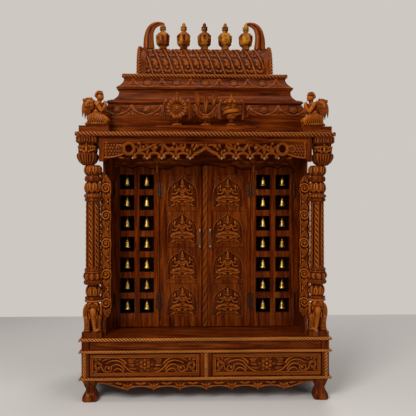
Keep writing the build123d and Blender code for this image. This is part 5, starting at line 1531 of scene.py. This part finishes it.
for side in (-1, 1):
    place = np.array((side * pillarX, pillarY, elephantLow[2]))
    parts.append(movedPart(skin, place, side > 0))

    def on(x, y, z):
        # a place on this elephant, x towards the middle
        return (place[0] - side * x, place[1] + y, place[2] + z)

    for x, y in ((-28, -24), (27, -18)):
        for toe in (-0.75, 0, 0.75):
            parts.append(ballPart(on(x + 15 * math.sin(toe), y - 15 * math.cos(toe), 5), (4.2, 3, 4.6), 8, 5))
    # a jewelled cap with three leaves, a bead collar, folds of the ears and rings round the trunk
    for tilt in (-0.7, 0.0, 0.7):
        parts.append(leafPart(on(3 + 13 * tilt, -50 + 4 * abs(tilt), 140), 30, 14,
                              -pi / 2 - side * tilt * 0.6, 4.5, 4, rows=8))
    for k in range(13):
        angle = pi * k / 12
        parts.append(ballPart(on(4 + 28 * math.cos(angle), -33 - 18 * math.sin(angle),
                                 122 + 10 * math.sin(angle)), 3.4, 8, 5))
        parts.append(ballPart(on(-2 + 38 * math.cos(angle), -18 - 26 * math.sin(angle),
                                 76 - 8 * math.sin(angle)), 3.6, 8, 5))
    for k in range(4):
        parts.append(barPart([on(-22 - 5 * k, -37, 126 - 4 * k), on(-26 - 5 * k, -40, 98),
                              on(-24 - 4 * k, -36, 68 + 3 * k)], 2.4, 1.6, 6, 10, relief=0.85))
    for x, y in ((-26, -22), (25, -16)):
        for turn in (-0.5, 0.1, 0.7):
            parts.append(barPart([on(x + 17 * math.sin(turn), y - 16 * math.cos(turn), 62),
                                  on(x + 16 * math.sin(turn), y - 16 * math.cos(turn), 40),
                                  on(x + 15 * math.sin(turn), y - 15 * math.cos(turn), 18)], 2.2, 1.6, 6, 8,
                                  relief=0.8))
    for k in range(8):
        z = 96 - k * 9
        arc = np.linspace(0.1 * pi, 0.9 * pi, 9)
        x = np.interp(z, [22, 50, 84, 106], [14, 11, 11, 6])
        y = np.interp(z, [22, 50, 84, 106], [-50, -52, -57, -45])
        r = np.interp(z, [22, 60, 106], [8.4, 10.8, 15.5])
        ring = pointsOf(place[0] - side * (x + r * np.cos(arc)), place[1] + y - r * np.sin(arc) + 0.8,
                        place[2] + z)
        parts.append(tubePart(ring, 1.5, sides=6, up=(0, 0, 1), relief=0.85))
makePiece("carvedElephants", parts, teakCarved, "root", ("elephants",))
print("elephants carved")

# Winged figures: they kneel with folded hands, and their wings hang behind them. Faces are plain and calm
figureLow, figureHigh = cadSpan("winged_figures")
figureLook = {"voxel": 2.8, "soft": 2}
body = [ballPart((0, 0, 14), (58, 38, 15), 24, 8), ballPart((10, 0, 34), (46, 34, 26), 24, 12),
        ballPart((-20, 0, 44), (28, 30, 28), 20, 12), ballPart((10, 0, 98), (25, 30, 27), 20, 12),
        ballPart((2, 0, 72), (23, 26, 28), 20, 12)]
body += rodPart([(12, 0, 118), (15, 0, 134)], (12, 11))
body += [ballPart((17, 0, 147), (18, 15.5, 18.5), 20, 12), ballPart((32, 0, 144), (4.5, 3.4, 4.5)),
         ballPart((29, 0, 135), (6, 6.5, 5)), ballPart((13, 0, 163), (19, 17, 9), 18, 8)]
for side in (-1, 1):
    body += rodPart([(-10, side * 14, 44), (24, side * 20, 52), (48, side * 18, 34)], (20, 18, 14))
    body += rodPart([(46, side * 18, 36), (50, side * 20, 20), (30, side * 22, 12)], (14, 12, 10))
    body += [ballPart((8, side * 28, 110), (14, 11, 13))]
    body += rodPart([(8, side * 30, 108), (18, side * 36, 90), (28, side * 30, 76)], (11, 10.5, 9.5))
    body += rodPart([(28, side * 30, 76), (42, side * 18, 88), (42, side * 6, 112)], (9.5, 8.5, 7))
    body += [ballPart((40, side * 4.5, 118), (8, 5, 10))]
    body += rodPart([(-10, side * 16, 112), (-30, side * 24, 132), (-48, side * 24, 118),
                     (-50, side * 22, 60)], (14, 14, 12, 6), 14, 20)
    body += [ballPart((-38, side * 22, 100), (24, 9, 40), 20, 12, tilt=0.08)]
kneeler = skinPart("figureForm", body, figureLook["voxel"], figureLook["soft"])
figureX = figureHigh[0] - 61
figureY = (figureLow[1] + figureHigh[1]) / 2
parts = []
for side in (-1, 1):
    place = (side * (figureX - 2), figureY, figureLow[2])
    parts.append(movedPart(kneeler, place, side > 0))
    inward = -side

    def at(x, y, z):
        # a place on this figure, x towards the middle
        return (place[0] + inward * x, place[1] + y, place[2] + z)

    for ySide in (-1, 1):
        axes = np.array([(inward, 0, 0), (0, 0, 1), (0, ySide, 0)], float)
        # long flight feathers, then rows of short ones over them
        for k in range(7):
            parts.append(leafPart(at(-58 + 6.5 * k, ySide * 28, 112 + 3 * k - 0.4 * k * k), 70 - 5 * k, 13,
                                  -pi / 2 + 0.06 * k - 0.05, 3.6, 3, axes=axes, rows=8))
        for row in range(3):
            for k in range(5):
                parts.append(leafPart(at(-56 + 9 * k + 3 * row, ySide * 31, 132 - 14 * row + 1.5 * k),
                                      22, 12, -pi / 2 + 0.1, 3.4, 2, axes=axes, rows=6))
        # curls of hair round the head, armlet and bracelet
        for ring, count, rise in ((17, 8, 150), (13, 6, 160)):
            for k in range(count):
                angle = pi * (0.25 + 0.95 * k / count)
                parts.append(ballPart(at(15 + ring * math.cos(angle), ySide * (13 if ring > 15 else 9),
                                         rise + 0.75 * ring * math.sin(angle)), 5.4, 10, 6))
        for x, y, z, r in ((14, 34, 98, 11.6), (37, 23, 84, 9.6), (42, 11, 101, 8.4)):
            turn = np.linspace(0, 2 * pi, 16)
            path = pointsOf(place[0] + inward * (x + 0.45 * r * np.cos(turn)),
                            place[1] + ySide * (y + r * np.sin(turn)), place[2] + z + 0.9 * r * np.cos(turn))
            parts.append(tubePart(path, 2.2, sides=6, up=(inward, 0, 0), relief=0.9))
        # pleats of the skirt sweep from the waist to the hem
        for k in range(9):
            lean = (k - 4) / 4
            parts.append(barPart([at(-2 + 8 * lean, ySide * 29, 62), at(4 + 34 * lean, ySide * 41, 42),
                                  at(6 + 46 * lean, ySide * 37, 8)], 3.4, 2.6, 6, 12, relief=0.8))
    for k in range(6):
        angle = 2 * pi * k / 6
        parts.append(ballPart(at(15 + 10 * math.cos(angle), 9 * math.sin(angle), 169), 5.0, 10, 6))
    # garland that falls from the shoulders, and a belt
    for ySide in (-1, 1):
        parts.append(barPart([at(10, ySide * 20, 120), at(36, ySide * 18, 108), at(33, 0, 84)], 3.4, 3.0, 8,
                             14, relief=0.85))
        parts.append(barPart([at(-18, ySide * 18, 64), at(4, ySide * 34, 62), at(30, ySide * 14, 66)], 3.4,
                             3.4, 8, 14, relief=0.85))
makePiece("carvedFigures", parts, teakCarved, "root", ("winged_figures",))
print("figures carved")

# Emblems on turned stands: the discus, the forehead mark and the conch
emblemLow = cadSpan("emblems")[0]
emblemLook = {"discX": -140, "conchX": 124, "y": -240, "stem": 41, "discRadius": 50}
standMembers = ((6, 19, 20, 18), (10, 14, 12, 11), (8, 10, 16, 11), (17, 9, 12, 20))
emblemY = emblemLook["y"]
parts = []
for x in (emblemLook["discX"], 0, emblemLook["conchX"]):
    parts.append(turnedPart((x, emblemY, emblemLow[2]), standMembers, 28, 1.8,
                            lambda level, angle, radius: 1.2 * np.abs(np.sin(angle * 4)) * (level > 22)))
discZ = emblemLow[2] + emblemLook["stem"] + emblemLook["discRadius"] - 2
discX = emblemLook["discX"]


def frontRing(x, y, z, radius, thick, count=48):
    # a round bar bent into a ring that faces the front
    angle = np.linspace(0, 2 * pi, count)
    path = pointsOf(x + radius * np.cos(angle), y, z + radius * np.sin(angle))
    return tubePart(path, thick, sides=8, up=(0, 1, 0), relief=0.7)


parts += [frontRing(discX, emblemY, discZ, 15, 4.0),
          ballPart((discX, emblemY - 4, discZ), (11, 9, 11), 16, 10)]
for k in range(16):
    tilt = 2 * pi * k / 16
    parts.append(leafPart((discX + 17 * math.cos(tilt), emblemY, discZ + 17 * math.sin(tilt)), 37, 20, tilt,
                          8, 6, rows=12, vein=0.12, blunt=1.9))
for tilt in (1.0, pi / 2, 2.14):
    parts.append(leafPart((discX, emblemY, discZ + 50), 19, 11, tilt, 5, 4))
parts.append(ballPart((discX, emblemY, discZ + 69), (5, 5, 7)))


def emblemRibbons(x, z, reach, drop):
    # a knob on each side, and a pleated cloth that hangs from it and widens to a slanting hem
    made = []
    for side in (-1, 1):
        made += [ballPart((x + side * reach, emblemY, z + 34), (9, 8, 9)),
                 ballPart((x + side * (reach + 6), emblemY, z + 20), (6, 6, 8))]
        t = np.linspace(0, 1, 12)[:, None]
        angle = anglesRound(24)
        half = 7 + 12 * t
        across = np.cos(angle)
        fold = 1.8 * np.cos(3.5 * pi * across) * t
        ring = pointsOf(x + side * (reach + 5 + 12 * t) + half * across,
                        emblemY - 4 + 4.5 * np.sin(angle) - fold, z + 24 - drop * t + side * across * 11 * t)
        # the tone is darker in the folds' troughs, painted shade, and lighter on their crests, painted
        # highlight
        made.append(ringPart(ring, np.clip(0.42 + 0.34 * fold / 1.8 + 0 * half, 0, 1)))
    return made


parts += emblemRibbons(discX, discZ, 54, 74) + emblemRibbons(emblemLook["conchX"], discZ, 50, 72)
# the forehead mark: a thick cup whose ends curl outwards, with three broad flames behind it
markLow = emblemLow[2] + emblemLook["stem"]
turn = np.linspace(1.02 * pi, 1.98 * pi, 60)
path = pointsOf(46 * np.cos(turn), emblemY - 3.0, markLow + 58 + 54 * np.sin(turn))
side = 6 + 9 * np.abs(np.sin(turn)) ** 0.8
parts.append(tubePart(path, side * 0.8, side, sides=14, up=(0, 1, 0),
                      shape=lambda d, a: creased(np.abs(np.sin(a)) ** 12, 0.14, 0.7, 0.4)))
for sx in (-1, 1):
    parts += curlPart((sx * 54, emblemY - 2, markLow + 62), 8, -0.9 * sx, 0 if sx > 0 else pi, 4.5, 3.0)
for x, low, length, wide, tilt, bend in ((-36, 48, 84, 30, 1.66, 0.12), (0, 8, 124, 27, pi / 2, 0.0),
        (36, 48, 84, 30, 1.48, -0.12)):
    parts.append(leafPart((x, emblemY + 3, markLow + low), length, wide, tilt, 8, 5, bend, rows=16,
                          vein=0.6, blunt=1.0))
    parts.append(leafPart((x, emblemY - 1, markLow + low + 4), 0.62 * length, 0.5 * wide, tilt, 8, 3, bend,
                          rows=10, vein=0.3, blunt=1.0))
# the conch: a shell on petals, with its lip in front, under a wide umbrella
conchX = emblemLook["conchX"]
conchMembers = ((8, 12, 20, 24), (24, 24, 39, 39), (22, 39, 37, 27), (10, 26, 26, 26), (3, 28, None, 45),
                (9, 45, 49.5, 46), (9, 46, 38, 24), (8, 20, 19, 12), (8, 7, 11, 6), (14, 5, 4, 1))


def conchShape(level, angle, radius):
    # whorls that climb round the shell, and gores on the umbrella
    wave = np.abs(np.sin(angle / 2 - level * 0.13))
    shell = (level > 6) & (level < 60)
    gores = np.abs(np.cos(angle * 6)) ** 4 * (level > 66)
    return np.where(shell, -0.24 * radius * (1 - wave) ** 2, -0.05 * radius * gores)


parts.append(turnedPart((conchX, emblemY, markLow), conchMembers, 48, 2.0, conchShape))
parts.append(leafPart((conchX - 9, emblemY - 29, markLow + 58), 54, 24, -pi / 2 + 0.3, 9, 5, rows=12,
                      vein=0.9))
parts.append(leafPart((conchX + 14, emblemY - 27, markLow + 54), 40, 16, -pi / 2 - 0.2, 7, 5, rows=10,
                      vein=0.7))
for x in (discX, 0, conchX):
    for k in range(10):
        tilt = 2 * pi * k / 10
        parts.append(ballPart((x + 18 * math.cos(tilt), emblemY + 18 * math.sin(tilt), emblemLow[2] + 6),
                              (6.5, 6.5, 7), 8, 6))
        parts.append(ballPart((x + 16 * math.cos(tilt), emblemY + 16 * math.sin(tilt), markLow + 1),
                              (5.5, 5.5, 7), 8, 6))
makePiece("carvedEmblems", parts, teakCarved, "root", ("emblems",))
print("emblems carved")

# Camera, floor and light
cameraLook = {"x": -60, "eye": 967, "distance": 2470, "focalPixels": 516, "frame": 416, "turn": 1.6,
              "tilt": 0.745}
lens = bpy.data.cameras.new("camera")
lens.sensor_width = 36
lens.lens = 36 * cameraLook["focalPixels"] / cameraLook["frame"]
camera = addObject("camera", lens)
camera.location = (cameraLook["x"] * mm, (ropeLow[1] - cameraLook["distance"]) * mm, cameraLook["eye"] * mm)
camera.rotation_euler = (math.radians(90 - cameraLook["tilt"]), 0, math.radians(-cameraLook["turn"]))
bpy.context.scene.camera = camera

studio = {"floor": "#dcd6d0", "wall": "#cdc8c2", "world": 0.12, "key": 110, "fill": 20, "top": 26, "back": 60}


def plainPaint(name, code):
    # flat matt paint with a fine grit
    material, tree = newMaterial(name)
    grit = addNode(tree, "ShaderNodeTexNoise", {"Scale": 60.0, "Detail": 2.0}).outputs["Fac"]
    shader = addNode(tree, "ShaderNodeBsdfPrincipled", {
        "Base Color": paint(code), "Roughness": 0.9, "Normal": addBump(tree, grit, 0.05, 0.001)})
    finishMaterial(tree, shader.outputs["BSDF"])
    return material


def stagePlane(name, corners, material):
    # a flat surface that belongs to the stage
    mesh = bpy.data.meshes.new(name)
    mesh.from_pydata(corners, [], [(0, 1, 2, 3)])
    mesh.materials.append(material)
    plane = addObject(name, mesh)


# the floor ends behind the object, so that no side view is blocked by a wall
stagePlane("floor", [(-8, -8, 0), (8, -8, 0), (8, 1.6, 0), (-8, 1.6, 0)],
           plainPaint("floorPaint", studio["floor"]))

world = bpy.data.worlds.new("studio")
bpy.context.scene.world = world
world.use_nodes = True
# the camera sees a pale wall, and the object is lit by a dimmer sky
tree = world.node_tree
sky = tree.nodes["Background"]
sky.inputs["Color"].default_value = paint("#f4f1ee")
sky.inputs["Strength"].default_value = studio["world"]
seenWall = addNode(tree, "ShaderNodeBackground", {"Color": paint(studio["wall"]), "Strength": 1.0})
rays = addNode(tree, "ShaderNodeLightPath")
seen = addNode(tree, "ShaderNodeMixShader", {"Fac": rays.outputs["Is Camera Ray"]})
tree.links.new(sky.outputs["Background"], seen.inputs[1])
tree.links.new(seenWall.outputs["Background"], seen.inputs[2])
tree.links.new(seen.outputs["Shader"], tree.nodes["World Output"].inputs["Surface"])


def softBox(name, place, aim, size, power):
    # a rectangular lamp turned towards aim
    lamp = bpy.data.lights.new(name, "AREA")
    lamp.energy = power
    lamp.shape = "RECTANGLE"
    lamp.size, lamp.size_y = size
    lampObject = addObject(name, lamp)
    lampObject.location = place
    direction = np.array(aim) - np.array(place)
    flat = math.hypot(direction[0], direction[1])
    lampObject.rotation_euler = (math.atan2(flat, -direction[2]), 0,
                                 math.atan2(direction[1], direction[0]) - pi / 2)


softBox("keyLight", (-1.6, -3.0, 2.8), (0, 0, 1.0), (1.6, 1.6), studio["key"])
softBox("fillLight", (2.2, -2.6, 1.6), (0, 0, 1.0), (1.6, 2.0), studio["fill"])
softBox("topLight", (0, -0.6, 3.4), (0, 0, 1.2), (2.4, 1.4), studio["top"])
softBox("backLight", (1.4, 3.2, 2.6), (0, 0, 0.9), (2.0, 2.0), studio["back"])

bpy.context.scene.view_settings.view_transform = "Standard"
print("scene ready")
